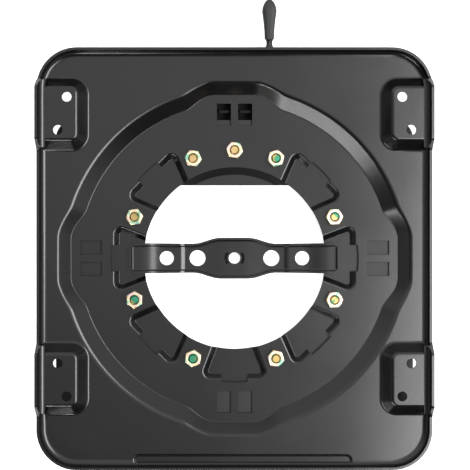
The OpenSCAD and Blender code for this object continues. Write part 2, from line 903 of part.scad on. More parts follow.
module latch_plate() {
    color([0.2, 0.2, 0.21])
    released()
    difference() {
        union() {
            translate([-cheek_out, slot_in, latch_bot])
                cube([2 * cheek_out, tab_y - slot_in + cut, latch_t]);
            translate([-cheek_out, tab_y, latch_bot])
                cube([cheek_out + lever_x + arm_w, tab_l, latch_t]);
            for (side = [-1, 1]) {
                translate([side * (window_gap + window_w) / 2, tooth_y + latch_t / 2, latch_bot])
                    rotate([90, 0, 0])
                    linear_extrude(latch_t)
                    tooth_outline();
                translate([side > 0 ? cheek_out - cheek_t : -cheek_out, 0, 0]) {
                    translate([0, pin_y - cheek_r, latch_bot])
                        cube([cheek_t, 2 * cheek_r, pin_z - latch_bot]);
                    along_x(0, cheek_t, cheek_r);
                }
            }
        }
        along_x(-cheek_out - cut, cheek_out + cut, pin_d / 2 + fit_gap);
        translate([cheek_t - cheek_out, pin_y - cheek_r - pin_play, latch_bot - cut])
            cube([2 * (cheek_out - cheek_t), 2 * (cheek_r + pin_play), latch_t + 2 * cut]);
        for (y = arm_rivet_y)
            translate([lever_x, y, latch_bot - cut])
            cylinder(r = rivet_r + fit_gap, h = latch_t + 2 * cut, $fn = rivet_fn);
    }
}

module lever_arm() {
    fall = tan(grip_droop) * (arm_end_y - arm_bend_y);
    side = [
        [arm_w / 2, tab_y], [arm_w / 2, arm_lip_y], [arm_waist_w / 2, arm_waist_y],
        [arm_root_w / 2, arm_root_y], [arm_waist_w / 2, arm_root_y], [arm_waist_w / 2, arm_end_y]];
    section = [[tab_y, latch_top], [arm_bend_y, latch_top], [arm_end_y + cut, latch_top - fall]];
    color([0.1, 0.1, 0.1])
    released()
    difference() {
        intersection() {
            translate([lever_x, 0])
                linear_extrude(face_top)
                polygon(concat(side, [for (i = [len(side) - 1:-1:0]) [-side[i][0], side[i][1]]]));
            translate([lever_x - arm_w, 0, 0])
                rotate([90, 0, 90])
                linear_extrude(2 * arm_w)
                polygon(concat(section, [for (i = [2:-1:0]) section[i] + [0, arm_t]]));
        }
        for (y = arm_rivet_y)
            translate([lever_x, y, 0])
            cylinder(r = rivet_r + fit_gap, h = face_top, $fn = rivet_fn);
    }
}

// Half width of the grip along its length, from 0 to 1
function grip_half(t) =
    let (swell = pow(min(t / grip_wide_at, 1), grip_swell),
        nose = max((t - grip_wide_at) / (1 - grip_wide_at), 0),
        round_off = sqrt(max(1 - pow(nose, grip_swell), grip_blunt)))
    (grip_root_half + (grip_w / 2 - grip_root_half) * swell) * round_off;

// Distance out to a square with very round corners, at angle a
function squared(a) = pow(pow(abs(cos(a)), grip_square) + pow(abs(sin(a)), grip_square), -1 / grip_square);

module lever_grip() {
    rings = [
        for (i = [0:grip_steps])
        let (t = 1 - pow(1 - i / grip_steps, grip_swell), half = grip_half(t))
        [for (j = [0:grip_fn - 1])
            let (a = 360 * j / grip_fn, r = half * squared(a))
            [r * cos(a), grip_flat * r * sin(a), grip_l * t]]];
    color([0.17, 0.17, 0.18])
    released()
    translate([lever_x, grip_y, latch_top + arm_t / 2 - tan(grip_droop) * (grip_y - arm_bend_y)])
    rotate([-grip_droop, 0, 0])
    difference() {
        rotate([-90, 0, 0])
            loft(rings);
        translate([-arm_waist_w / 2 - fit_gap, -cut, -arm_t / 2 - fit_gap])
            cube([arm_waist_w + 2 * fit_gap, arm_in_grip + 2 * cut, arm_t + 2 * fit_gap]);
    }
}

// Rivet from z0 to z1 with a low round head above, and one below where two_heads is true
module rivet(z0, z1, two_heads) {
    translate([0, 0, z0])
        cylinder(r = rivet_r, h = z1 - z0, $fn = rivet_fn);
    translate([0, 0, z1])
        cylinder(r1 = rivet_head_r, r2 = rivet_r, h = rivet_head_h, $fn = rivet_fn);
    if (two_heads)
        translate([0, 0, z0 - rivet_head_h])
        cylinder(r1 = rivet_r, r2 = rivet_head_r, h = rivet_head_h, $fn = rivet_fn);
}

module arm_rivets() {
    color([0.5, 0.5, 0.5])
    released()
    for (y = arm_rivet_y)
        translate([lever_x, y, 0])
        rivet(latch_bot, latch_top + arm_t, true);
}

module ear_rivets() {
    color([0.5, 0.5, 0.5])
    ear_rivet_places()
        rivet(0, sheet_t + ear_t, false);
}

// L-shaped ear that carries one end of the pin; side is -1 or 1
module ear(side) {
    color([0.16, 0.16, 0.17])
    mirror([side < 0 ? 1 : 0, 0, 0])
    difference() {
        union() {
            translate([ear_in, pin_y - ear_half_l, sheet_t])
                cube([ear_foot, 2 * ear_half_l, ear_t]);
            translate([ear_in, pin_y - cheek_r, sheet_t])
                cube([ear_t, 2 * cheek_r, pin_z - sheet_t]);
            along_x(ear_in, ear_out, cheek_r);
        }
        along_x(ear_in - cut, ear_out + cut, pin_d / 2 + fit_gap);
        translate([ear_out, pin_y - relief_half_l, sheet_t - cut])
            cube([pin_end + run_gap, 2 * relief_half_l, ear_t + 2 * cut]);
        rivet_holes();
    }
}

module left_ear() ear(-1);
module right_ear() ear(1);

module pivot_pin() {
    color([0.75, 0.75, 0.75])
    difference() {
        union() {
            along_x(-ear_out - pin_play - cut, ear_out + pin_end, pin_d / 2);
            along_x(-ear_out - pin_play - pin_head_t, -ear_out - pin_play, pin_head_r);
        }
        difference() {
            along_x(ear_out + pin_play, ear_out + pin_play + groove_w, pin_d);
            along_x(ear_out, ear_out + pin_end, pin_d / 2 - groove_depth);
        }
    }
}

// C-shaped clip, open downwards
module pivot_clip() {
    r = pin_d / 2 - groove_depth + fit_gap;
    color([0.4, 0.4, 0.42])
    difference() {
        along_x(ear_out + 2 * pin_play, ear_out + 2 * pin_play + clip_t, clip_r);
        along_x(ear_out, ear_out + pin_end, r);
        translate([ear_out, pin_y - r * cos(30), pin_z - 2 * clip_r])
            cube([pin_end, 2 * r * cos(30), 2 * clip_r]);
    }
}

// Points along the wire: a leg on the lower plate, the turns, and a leg on the latch plate
function spring_path() =
    let (n = coil_turns * coil_fn, half = coil_turns * coil_pitch / 2,
        seat_y = leg_l * cos(latch_travel) - (latch_top - pin_z) * sin(latch_travel),
        seat_z = leg_l * sin(latch_travel) + (latch_top - pin_z) * cos(latch_travel))
    concat(
        [[-half, pin_y + leg_l, sheet_t + wire_d / 2 + leg_gap], [-half, pin_y + leg_start, pin_z - coil_r]],
        [for (i = [0:n]) let (a = -90 - 360 * i / coil_fn)
            [-half + coil_pitch * i / coil_fn, pin_y + coil_r * cos(a), pin_z + coil_r * sin(a)]],
        [[half, pin_y + leg_start, pin_z + coil_r - leg_gap],
            [half, pin_y + seat_y, pin_z + seat_z + wire_d / 2 + 2 * leg_gap]]);

module latch_spring() {
    path = spring_path();
    n = len(path);
    color([0.55, 0.55, 0.57])
    loft([for (k = [0:n - 1])
        let (t = path[min(k + 1, n - 1)] - path[max(k - 1, 0)], f = t / norm(t), u = [1, 0, 0] - f[0] * f,
            side = u / norm(u), up = cross(f, side))
        [for (j = [0:wire_fn - 1]) let (a = 360 * j / wire_fn)
            path[k] + wire_d / 2 * (cos(a) * side + sin(a) * up)]]);
}

top_plate();
base_plate();
clamp_ring();
upper_glide_ring();
lower_glide_ring();
ring_bolts();
ring_nuts();
ring_spacers();
cross_strap();
cable_bush();
latch_plate();
lever_arm();
lever_grip();
arm_rivets();
pivot_pin();
pivot_clip();
latch_spring();
left_ear();
right_ear();
ear_rivets();
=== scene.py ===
# %% [markdown]
# # A swivel seat base, dressed for its portrait
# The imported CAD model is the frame: it says where every piece is and what it moves with.
# This notebook hides the coarse CAD pressings behind smooth ones of the same form, gives each
# piece the finish that it has on the real object, and lights the whole like a product photograph.

import math

import bmesh
import bpy
import numpy as np
from mathutils import Matrix, Quaternion, Vector


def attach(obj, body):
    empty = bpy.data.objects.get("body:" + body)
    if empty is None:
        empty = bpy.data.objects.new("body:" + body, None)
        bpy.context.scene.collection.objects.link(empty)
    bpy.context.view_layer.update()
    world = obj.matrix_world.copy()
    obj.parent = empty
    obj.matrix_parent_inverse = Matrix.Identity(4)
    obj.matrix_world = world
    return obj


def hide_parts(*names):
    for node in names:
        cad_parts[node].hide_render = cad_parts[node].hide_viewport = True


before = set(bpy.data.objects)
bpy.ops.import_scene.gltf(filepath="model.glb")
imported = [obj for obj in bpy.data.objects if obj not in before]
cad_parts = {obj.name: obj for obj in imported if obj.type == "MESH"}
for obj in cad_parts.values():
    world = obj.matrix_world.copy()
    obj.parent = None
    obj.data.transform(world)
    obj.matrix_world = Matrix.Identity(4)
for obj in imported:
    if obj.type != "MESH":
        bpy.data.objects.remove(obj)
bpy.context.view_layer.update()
MM = 0.001

# %% [markdown]
# ## Heights of the stack
# The pieces lie on each other like plates on a shelf, so every height follows from the sheet
# thickness and the few pressed depths. They repeat the CAD's sizes, in millimetres.

# %% Sizes
SHEET = 3.0
PLATEAU_UNDER = 15.5
PLATEAU_TOP = PLATEAU_UNDER + SHEET
GLIDE = 1.5
DISH_TOP = PLATEAU_TOP + GLIDE + SHEET
DISH_DEPTH = 13.0
FACE = DISH_TOP + DISH_DEPTH
RING_TOP = PLATEAU_UNDER - GLIDE
RECESS_TOP = RING_TOP + SHEET
PLATE_W, PLATE_L, PLATE_CORNER = 440.0, 470.0, 45.0
LIP, LIP_BEND, PAD = 11.0, 7.0, 14.0
HOLE_R = 103.0
print(f"dish floor at {DISH_TOP} mm, face at {FACE} mm")

# %% [markdown]
# ## Lofts and cuts
# A press draws sheet steel over a die, and every wall leaves the sheet through a bend radius.
# One function gives that section, and a loft sweeps it round an outline. The outlines are made
# in the same way as the die: straight sides and round corners. The solids are then joined and
# cut with the Manifold boolean, which keeps a closed mesh and takes a fraction of a second.

# %% Outlines and sections
def rounded(corners, grow, steps):
    """Outline of arcs, each (centre x, centre y, radius, first angle, last angle)."""
    points = []
    for x, y, radius, first, last in corners:
        for i in range(steps + 1):
            a = math.radians(first + (last - first) * i / steps)
            points.append((x + (radius + grow) * math.cos(a), y + (radius + grow) * math.sin(a)))
    return points


def box_corners(x0, x1, y0, y1, r):
    """The four corners of a round-cornered rectangle."""
    return [(x1 - r, y0 + r, r, -90, 0), (x1 - r, y1 - r, r, 0, 90),
            (x0 + r, y1 - r, r, 90, 180), (x0 + r, y0 + r, r, 180, 270)]


def bend(run, rise, low_r, high_r, under=0.0, steps=7):
    """Section of a pressed wall from its foot to its head, or the other side of that sheet."""
    slope = math.atan2(rise, run)
    half = math.tan(slope / 2)
    shift = under * half
    low, high = low_r + under, high_r - under
    turns = [slope * i / steps for i in range(steps + 1)]
    foot = [(shift + low * (math.sin(b) - half), low * (1 - math.cos(b)) - under) for b in turns]
    head = [(run + shift + high * (half - math.sin(b)), rise - under - high * (1 - math.cos(b)))
            for b in reversed(turns)]
    return foot + head


def lift(outline, z):
    """The outline at one height."""
    return [(x, y, z) for x, y in outline]


print("bend of the dish wall:", len(bend(16, 13, 2, 7)), "points")

# %% Solids
def add_object(name, data):
    """New object in the scene for a mesh, a lamp or the camera."""
    obj = bpy.data.objects.new(name, data)
    bpy.context.scene.collection.objects.link(obj)
    return obj


def solid(name, points, faces):
    """Mesh object from points in millimetres."""
    mesh = bpy.data.meshes.new(name)
    mesh.from_pydata([(x * MM, y * MM, z * MM) for x, y, z in points], [], faces)
    return add_object(name, mesh)


def from_bmesh(name, work):
    """Mesh object from a bmesh, which is used up."""
    mesh = bpy.data.meshes.new(name)
    work.to_mesh(mesh)
    work.free()
    return add_object(name, mesh)


def loft(rings):
    """Closed solid through outlines with as many points each, lowest first."""
    n, m = len(rings[0]), len(rings)
    faces = [tuple(range(n - 1, -1, -1)), tuple(range((m - 1) * n, m * n))]
    for k in range(m - 1):
        for i in range(n):
            j = (i + 1) % n
            faces.append((k * n + i, k * n + j, (k + 1) * n + j, (k + 1) * n + i))
    return solid("loft", [p for ring in rings for p in ring], faces)


def cylinder(x, y, z0, z1, radius, steps=64, top_radius=None):
    """Round bar or cone standing at (x, y)."""
    turns = [2 * math.pi * i / steps for i in range(steps)]
    ends = [(z0, radius), (z1, radius if top_radius is None else top_radius)]
    return loft([[(x + r * math.cos(a), y + r * math.sin(a), z) for a in turns] for z, r in ends])


def block(x0, x1, y0, y1, z0, z1, r=0.3):
    """Upright box with small round corners, as a punch leaves them."""
    outline = rounded(box_corners(x0, x1, y0, y1, r), 0, 3)
    return loft([lift(outline, z0), lift(outline, z1)])


def turned(obj, degrees):
    """The solid turned about the swivel axis."""
    obj.data.transform(Matrix.Rotation(math.radians(degrees), 4, "Z"))
    return obj


def remove(obj):
    """Deletes a solid that was only a tool."""
    mesh = obj.data
    bpy.data.objects.remove(obj)
    bpy.data.meshes.remove(mesh)


def combine(target, tools, operation):
    """Joins, cuts or intersects the target with each tool, which are used up."""
    for tool in tools:
        step = target.modifiers.new("combine", "BOOLEAN")
        step.operation = operation
        step.solver = "MANIFOLD"
        step.object = tool
    depsgraph = bpy.context.evaluated_depsgraph_get()
    shaped = bpy.data.meshes.new_from_object(target.evaluated_get(depsgraph))
    target.modifiers.clear()
    old, target.data = target.data, shaped
    bpy.data.meshes.remove(old)
    for tool in tools:
        remove(tool)
    return target


# %% [markdown]
# ## Edges
# A punched edge is never razor sharp: the punch rolls it over and the powder rounds it further.
# A bevel of a few tenths of a millimetre catches the thin line of light that an eye expects.
# Weighted normals keep the big flats flat beside it.

# %% Finishing a mesh
FLAT_WEIGHT = 80  # how far the large faces decide the normals


def round_edges(obj, width, segments=2, angle=35.0):
    """Bevel on the edges that turn more than the angle, and normals that keep flats flat."""
    edges = obj.modifiers.new("edges", "BEVEL")
    edges.width = width * MM
    edges.segments = segments
    edges.limit_method = "ANGLE"
    edges.angle_limit = math.radians(angle)
    normals = obj.modifiers.new("normals", "WEIGHTED_NORMAL")
    normals.keep_sharp = True
    normals.weight = FLAT_WEIGHT


def finish_edges(obj, width, segments, angle):
    """Smooth shading and small round edges on a new piece."""
    obj.data.polygons.foreach_set("use_smooth", [True] * len(obj.data.polygons))
    round_edges(obj, width, segments, angle)


def sharpen(obj, angle):
    """Marks the edges that turn more than the angle as sharp for shading."""
    work = bmesh.new()
    work.from_mesh(obj.data)
    for edge in work.edges:
        if len(edge.link_faces) == 2:
            edge.smooth = edge.calc_face_angle() < math.radians(angle)
    work.to_mesh(obj.data)
    work.free()
    return obj


def tidy_flats(obj):
    """Merges the coplanar triangles that booleans leave, so that bevels run clean."""
    same_point, same_plane = 0.002 * MM, math.radians(0.05)
    work = bmesh.new()
    work.from_mesh(obj.data)
    bmesh.ops.remove_doubles(work, verts=work.verts, dist=same_point)
    bmesh.ops.dissolve_limit(work, angle_limit=same_plane, verts=work.verts, edges=work.edges)
    work.to_mesh(obj.data)
    work.free()
    return obj


# %% [markdown]
# ## The upper plate
# It is one pressing of 3 mm steel: a turned-up lip all round, four raised pads for the seat, a
# round dish with four lobes that make room for the latch windows, and seven recesses whose
# floors are clamped on the ring below. Each feature is a die of its own here: a solid that is
# added one sheet lower, and the same solid cut out of the top.

# %% Dish and recesses
DISH_R, LOBE_REACH, DISH_RUN, DISH_HEAD_R = 176.0, 185.0, 15.5, 9.0
LOBE_FLAT, LOBE_END, LOBE_RUN = 6.5, 18.5, 0.8
RECESS_TURNS = (0, 45, 135, 180, 225, 270, 315)
LOBE_TURNS = (0, 90, 180, 270)
BOLT_TURNS = (90, 22.5, 67.5, 112.5, 157.5, 202.5, 247.5, 292.5, 337.5)
BOLT_CIRCLE, BOLT_HOLE_R = 122.0, 5.05


def dish_edge(angle):
    """Distance from the axis to the foot of the dish wall."""
    off = abs((angle + 45) % 90 - 45)
    blend = min(max((off - LOBE_FLAT) / (LOBE_END - LOBE_FLAT), 0), 1)
    ease = blend * blend * (3 - 2 * blend)
    return (1 - ease) * LOBE_REACH / math.cos(math.radians(min(off, LOBE_END))) + ease * DISH_R


def dish_ring(grow, steps=360):
    """Outline of the dish at a distance from the wall's foot, which is shorter in the lobes."""
    outline = []
    for a in (360 * i / steps for i in range(steps)):
        foot = dish_edge(a)
        share = 1 - (1 - LOBE_RUN) * min(max((foot - DISH_R) / (LOBE_REACH - DISH_R), 0), 1)
        r = foot + grow * share
        outline.append((r * math.cos(math.radians(a)), r * math.sin(math.radians(a))))
    return outline


def dish_solid(under, top):
    """Everything between the dish surface and a height above it."""
    section = bend(DISH_RUN, DISH_DEPTH, 2, DISH_HEAD_R, under, 9)
    rings = [lift(dish_ring(x), DISH_TOP + z) for x, z in section]
    return loft(rings + [lift(dish_ring(section[-1][0]), top)])


RECESS_HALF, RECESS_ANGLE, RECESS_REACH, RECESS_RUN = 20.5, 21.0, 131.0, 5.5
TAB_HALF, TAB_REACH = 15.0, 140.5


def recess_corners():
    """Floor of a recess along +X, open to the middle hole."""
    r, inner = 3.0, HOLE_R - 12
    tan = math.tan(math.radians(RECESS_ANGLE))
    x = RECESS_REACH - r
    y = RECESS_HALF + tan * (x - HOLE_R) - r / math.cos(math.radians(RECESS_ANGLE))
    y_in = RECESS_HALF + tan * (inner - HOLE_R)
    s = 90 + RECESS_ANGLE
    return [(x, -y, r, -s, 0), (x, y, r, 0, s),
            (inner, y_in, 0, s, 180), (inner, -y_in, 0, 180, 360 - s)]


def recess_solid(under, top):
    """A recess, with the pilot tab that is lanced out of its outer wall."""
    section = bend(RECESS_RUN, DISH_TOP - RECESS_TOP, 0.8, 3.4, under, 6)
    rings = [lift(rounded(recess_corners(), x, 8), RECESS_TOP + z) for x, z in section]
    return loft(rings + [lift(rounded(recess_corners(), section[-1][0], 8), top)])


def tab_solid(edge, bottom, top):
    """The flat tab at the outer end of a recess."""
    half, reach = TAB_HALF + edge, TAB_REACH + edge
    spread = math.asin(half / reach)
    turns = [spread * (i / 8 - 1) for i in range(17)]
    arc = [(reach * math.cos(a), reach * math.sin(a)) for a in turns]
    outline = [(HOLE_R + 2, half), (HOLE_R + 2, -half)] + arc
    return loft([lift(outline, bottom), lift(outline, top)])


print("lobe reaches", round(dish_edge(0), 1), "mm, the round dish", round(dish_edge(45), 1), "mm")

# %% [markdown]
# The pads could be separate blocks laid on the plate, but in a pressing they are the same sheet.
# So they belong to the surface that cuts the blank above and below, and the lip bends up from
# them with the same radius that it has along the flat of the plate.

# %% Pads, lip and step
SEAT_SHIFT, SEAT_HOLE_R = 13.5, 5.5
SEAT_PATTERNS = ((372.0, 332.0), (392.0, 259.0))
PAD_MARGIN, PAD_RUN, PAD_CORNER = 22.0, 11.0, 18.0
STEP_LEFT, STEP_RIGHT, STEP_W, STEP_CORNER, STEP_DEPTH = -113.0, 131.0, 12.0, 6.0, 2.0


def pad_box(side, front):
    """Top outline of a pad, open towards the lip."""
    near = SEAT_PATTERNS[0][0] / 2 - PAD_MARGIN
    ys = sorted((SEAT_SHIFT + front * (SEAT_PATTERNS[0][1] / 2 + PAD_MARGIN),
                 SEAT_SHIFT + front * (SEAT_PATTERNS[1][1] / 2 - PAD_MARGIN)))
    xs = sorted((side * near, side * PLATE_W))
    return box_corners(xs[0], xs[1], ys[0], ys[1], PAD_CORNER)


def below_face(height, under=0.0):
    """Everything below the face and its pads, moved up by height."""
    base = block(-PLATE_W, PLATE_W, -PLATE_L, PLATE_L, -1, FACE + height, 1)
    section = bend(PAD_RUN, PAD, 4, 5, under)
    pads = []
    for side in (-1, 1):
        for front in (-1, 1):
            corners = pad_box(side, front)
            rings = [lift(rounded(corners, -section[0][0], 10), FACE - SHEET - LIP)]
            rings += [lift(rounded(corners, -x, 10), FACE + height + under + z) for x, z in section]
            pads.append(loft(rings))
    return combine(base, pads, "UNION")


def plate_outline(grow):
    """Outline of the whole plate."""
    corners = box_corners(-PLATE_W / 2, PLATE_W / 2, -PLATE_L / 2, PLATE_L / 2, PLATE_CORNER)
    return rounded(corners, grow, 24)


def quarter(radius, steps=8):
    """Points of a quarter bend, from flat to upright."""
    return [(radius * (math.sin(b) - 1), radius * (1 - math.cos(b)))
            for b in (math.pi / 2 * i / steps for i in range(steps + 1))]


def plate_block():
    """The blank with its rounded lower edge, as high as the lip at the pads."""
    rings = [lift(plate_outline(x), FACE - SHEET + z) for x, z in quarter(LIP_BEND + SHEET)]
    return loft(rings + [lift(plate_outline(0), FACE + PAD + LIP)])


def tray_void():
    """The room inside the lip."""
    rings = [lift(plate_outline(x - SHEET), FACE + z) for x, z in quarter(LIP_BEND)]
    return loft(rings + [lift(plate_outline(-SHEET), FACE + PAD + LIP + 1)])


def pad_fillet():
    """The lip's inner bend, where it meets the flat top of a pad."""
    level, inside_lip = FACE + PAD, 0.2
    ring = loft([lift(plate_outline(-inside_lip), z) for z in (FACE, level + LIP_BEND)])
    bowl = [lift(plate_outline(-SHEET - LIP_BEND), FACE - 1)]
    bowl += [lift(plate_outline(x - SHEET), level + z) for x, z in quarter(LIP_BEND)]
    combine(ring, [loft(bowl + [lift(plate_outline(-SHEET), level + PAD)])], "DIFFERENCE")
    tops = [loft([lift(rounded(pad_box(side, front), -2, 10), z) for z in (FACE - 1, level + PAD)])
            for side in (-1, 1) for front in (-1, 1)]
    combine(tops[0], tops[1:], "UNION")
    return combine(ring, tops[:1], "INTERSECT")


def step_solid(under, top):
    """The shallow step along the back lip."""
    y = -PLATE_L / 2 + SHEET
    corners = box_corners(STEP_LEFT, STEP_RIGHT, y, y + STEP_W, STEP_CORNER)
    section = bend(STEP_DEPTH, STEP_DEPTH, 0.5, SHEET + 0.5, under, 4)
    rings = [lift(rounded(corners, x - STEP_DEPTH, 8), FACE - STEP_DEPTH + z) for x, z in section]
    return loft(rings + [lift(rounded(corners, section[-1][0] - STEP_DEPTH, 8), top)])


print("pad foot reaches in to x =", SEAT_PATTERNS[0][0] / 2 - PAD_MARGIN)

# %% [markdown]
# A press draws the sheet first and then punches it, because a hole that is already there would
# tear as the sheet stretches. The solids are joined and cut in that order too.

# %% Press the plate
WINDOW_NEAR, WINDOW_FAR, WINDOW_W, WINDOW_STARTS, WINDOW_CORNER = 150.0, 175.0, 16.0, (-20, 4), 0.8
FOUR_SIDES = [(sx, sy) for sx in (-1, 1) for sy in (-1, 1)]


def pressed_plate():
    """The whole pressing, then its punched holes."""
    sheet = combine(plate_block(), [below_face(LIP)], "INTERSECT")
    inside = combine(tray_void(), [below_face(0), pad_fillet()], "DIFFERENCE")
    combine(sheet, [inside, below_face(-SHEET, SHEET)], "DIFFERENCE")
    added = [dish_solid(SHEET, FACE - SHEET / 2), step_solid(SHEET, FACE - SHEET / 2)]
    added += [turned(recess_solid(SHEET, DISH_TOP - SHEET / 2), t) for t in RECESS_TURNS]
    added += [turned(tab_solid(1 + SHEET, RING_TOP, DISH_TOP - SHEET / 2), t) for t in RECESS_TURNS]
    combine(sheet, added, "UNION")
    taken = [dish_solid(0, FACE + 1), step_solid(0, FACE + 1)]
    taken += [turned(recess_solid(0, DISH_TOP + 1), t) for t in RECESS_TURNS]
    taken += [turned(tab_solid(0, RECESS_TOP, DISH_TOP + 1), t) for t in RECESS_TURNS]
    taken.append(cylinder(0, 0, RING_TOP - 1, FACE, HOLE_R, 256))
    combine(sheet, taken, "DIFFERENCE")
    return combine(sheet, punches(), "DIFFERENCE")


def punches():
    """Seat bolt holes, ring bolt holes and latch windows."""
    tools = []
    for width, length in SEAT_PATTERNS:
        tools += [cylinder(sx * width / 2, SEAT_SHIFT + sy * length / 2,
                           FACE, FACE + PAD + 1, SEAT_HOLE_R, 48) for sx, sy in FOUR_SIDES]
    below, above = DISH_TOP - 4, DISH_TOP + 1
    tools += [turned(cylinder(BOLT_CIRCLE, 0, below, above, BOLT_HOLE_R, 32), t)
              for t in BOLT_TURNS]
    tools += [turned(block(WINDOW_NEAR, WINDOW_FAR, y, y + WINDOW_W, below, above, WINDOW_CORNER),
                     t) for t in LOBE_TURNS for y in WINDOW_STARTS]
    return tools


upper_plate = sharpen(tidy_flats(pressed_plate()), 35)
upper_plate.name = "upper_plate"
finish_edges(upper_plate, 0.45, 2, 50)
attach(upper_plate, "turntable")
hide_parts("top_plate")
print("upper plate:", len(upper_plate.data.polygons), "faces")

# %% [markdown]
# ## The lower plate
# A flat blank with two cut corners and a raised round centre, on which the glide rings run. Only
# two corners show in the photograph, through the seat bolt holes, but a camera that goes round
# the base sees the rest. A lathe section makes the raised centre, joined to the flat blank.

# %% Lower plate
BASE_W, BASE_L, BASE_CUT, BASE_CORNER = 410.0, 444.0, 76.0, 20.0
PLATEAU_R, PLATEAU_RUN, BASE_HOLE_R = 180.0, 9.0, 146.7
PIN_Y, CHEEK_OUT, CHEEK_ROOM_Y = 198.0, 23.5, 172.5
BASE_BOLT_X, BASE_BOLT_Y = 182.0, 130.0
TOOTH_SLOT_NEAR, TOOTH_SLOT_FAR = 156.5, 177.5
EAR_RIVET_X, EAR_RIVET_STEP, EAR_RIVET_R = 36.0, 4.5, 2.55


def base_outline():
    """Rectangle with two corners cut at 45 degrees, every corner rounded."""
    x, y, r = BASE_W / 2, BASE_L / 2, BASE_CORNER
    far = r / math.tan(math.radians(67.5))

    def corner(px, py, to_x, to_y, first, last):
        return (px + to_x, py + to_y, r, first, last)

    return [corner(x, -y, -r, r, -90, 0), corner(x, y - BASE_CUT, -r, -far, 0, 45),
            corner(x - BASE_CUT, y, -far, -r, 45, 90), corner(BASE_CUT - x, y, far, -r, 90, 135),
            corner(-x, y - BASE_CUT, r, -far, 135, 180), corner(-x, -y, r, r, 180, 270)]


def circle(radius, z, steps=180):
    """A ring of points about the swivel axis."""
    turns = [2 * math.pi * i / steps for i in range(steps)]
    return [(radius * math.cos(a), radius * math.sin(a), z) for a in turns]


def raised_centre(under, bottom):
    """Solid under the upper or lower side of the raised centre."""
    wall = bend(PLATEAU_RUN, PLATEAU_UNDER, 3, 4, under, 6)
    section = [(PLATEAU_R + PLATEAU_RUN - x, SHEET + z) for x, z in wall]
    return loft([circle(section[0][0], bottom)] + [circle(r, z) for r, z in section[1:]])


def lower_pressing():
    """Blank and raised centre, then the holes."""
    outline = rounded(base_outline(), 0, 8)
    blank = loft([lift(outline, 0), lift(outline, SHEET)])
    combine(blank, [raised_centre(0, 0)], "UNION")
    under, over = PLATEAU_UNDER - 1, PLATEAU_TOP + 1
    tools = [raised_centre(SHEET, -1), cylinder(0, 0, under, over, BASE_HOLE_R, 192)]
    tools += [cylinder(sx * BASE_BOLT_X, sy * BASE_BOLT_Y, -1, SHEET + 1, SEAT_HOLE_R, 48)
              for sx, sy in FOUR_SIDES]
    tools += [block(x, x + WINDOW_W, TOOTH_SLOT_NEAR, TOOTH_SLOT_FAR, under, over)
              for x in WINDOW_STARTS]
    tools.append(block(-CHEEK_OUT - 2, CHEEK_OUT + 2, CHEEK_ROOM_Y, PIN_Y - 2, -1, under))
    tools += [cylinder(sx * EAR_RIVET_X, PIN_Y + sy * EAR_RIVET_STEP, -1, SHEET + 1,
                       EAR_RIVET_R, 24) for sx, sy in FOUR_SIDES]
    return combine(blank, tools, "DIFFERENCE")


lower_plate = sharpen(tidy_flats(lower_pressing()), 35)
lower_plate.name = "lower_plate"
finish_edges(lower_plate, 0.4, 2, 50)
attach(lower_plate, "base")
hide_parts("base_plate")
print("lower plate:", len(lower_plate.data.polygons), "faces")

# %% [markdown]
# ## The cross strap
# A long steel tray that rests in two recesses and is bent down towards its middle, where it
# carries the cable bush. Its sides and ends are turned up, and the corners are relieved so that
# the sheet does not tear. It is drawn as one skin on a grid, in stations along the strap, and
# then given its 2.5 mm of thickness. The crease beside the middle is a tighter bend than the rest.

# %% Strap skin
STRAP, STRAP_REACH, STRAP_BEND, STRAP_RISE = 2.5, 119.0, 4.5, 7.5
LOW = RECESS_TOP - 5
STRAP_PATH = ((0, LOW + 1), (12, LOW + 1), (34, LOW), (58, LOW), (60, LOW + 1.5), (85, LOW + 1.5),
              (101, RECESS_TOP), (120, RECESS_TOP))
STRAP_SIDE = ((0, 23.25), (21, 23.25), (42, 16.45), (119, 17.25))
STRAP_HOLES = ((-77, 8.0), (77, 8.0), (-42, 9.0), (42, 9.0), (0, 6.5))
SOFT_REACH, CREASE_REACH, CREASE_FROM, CREASE_TO = 6.0, 1.5, 50, 70


def softened(points, x, reach):
    """Height of a bent line at |x|, with its corners rounded over the reach."""
    xs, zs = zip(*points)
    return float(np.mean(np.interp(np.abs(np.linspace(x - reach, x + reach, 15)), xs, zs)))


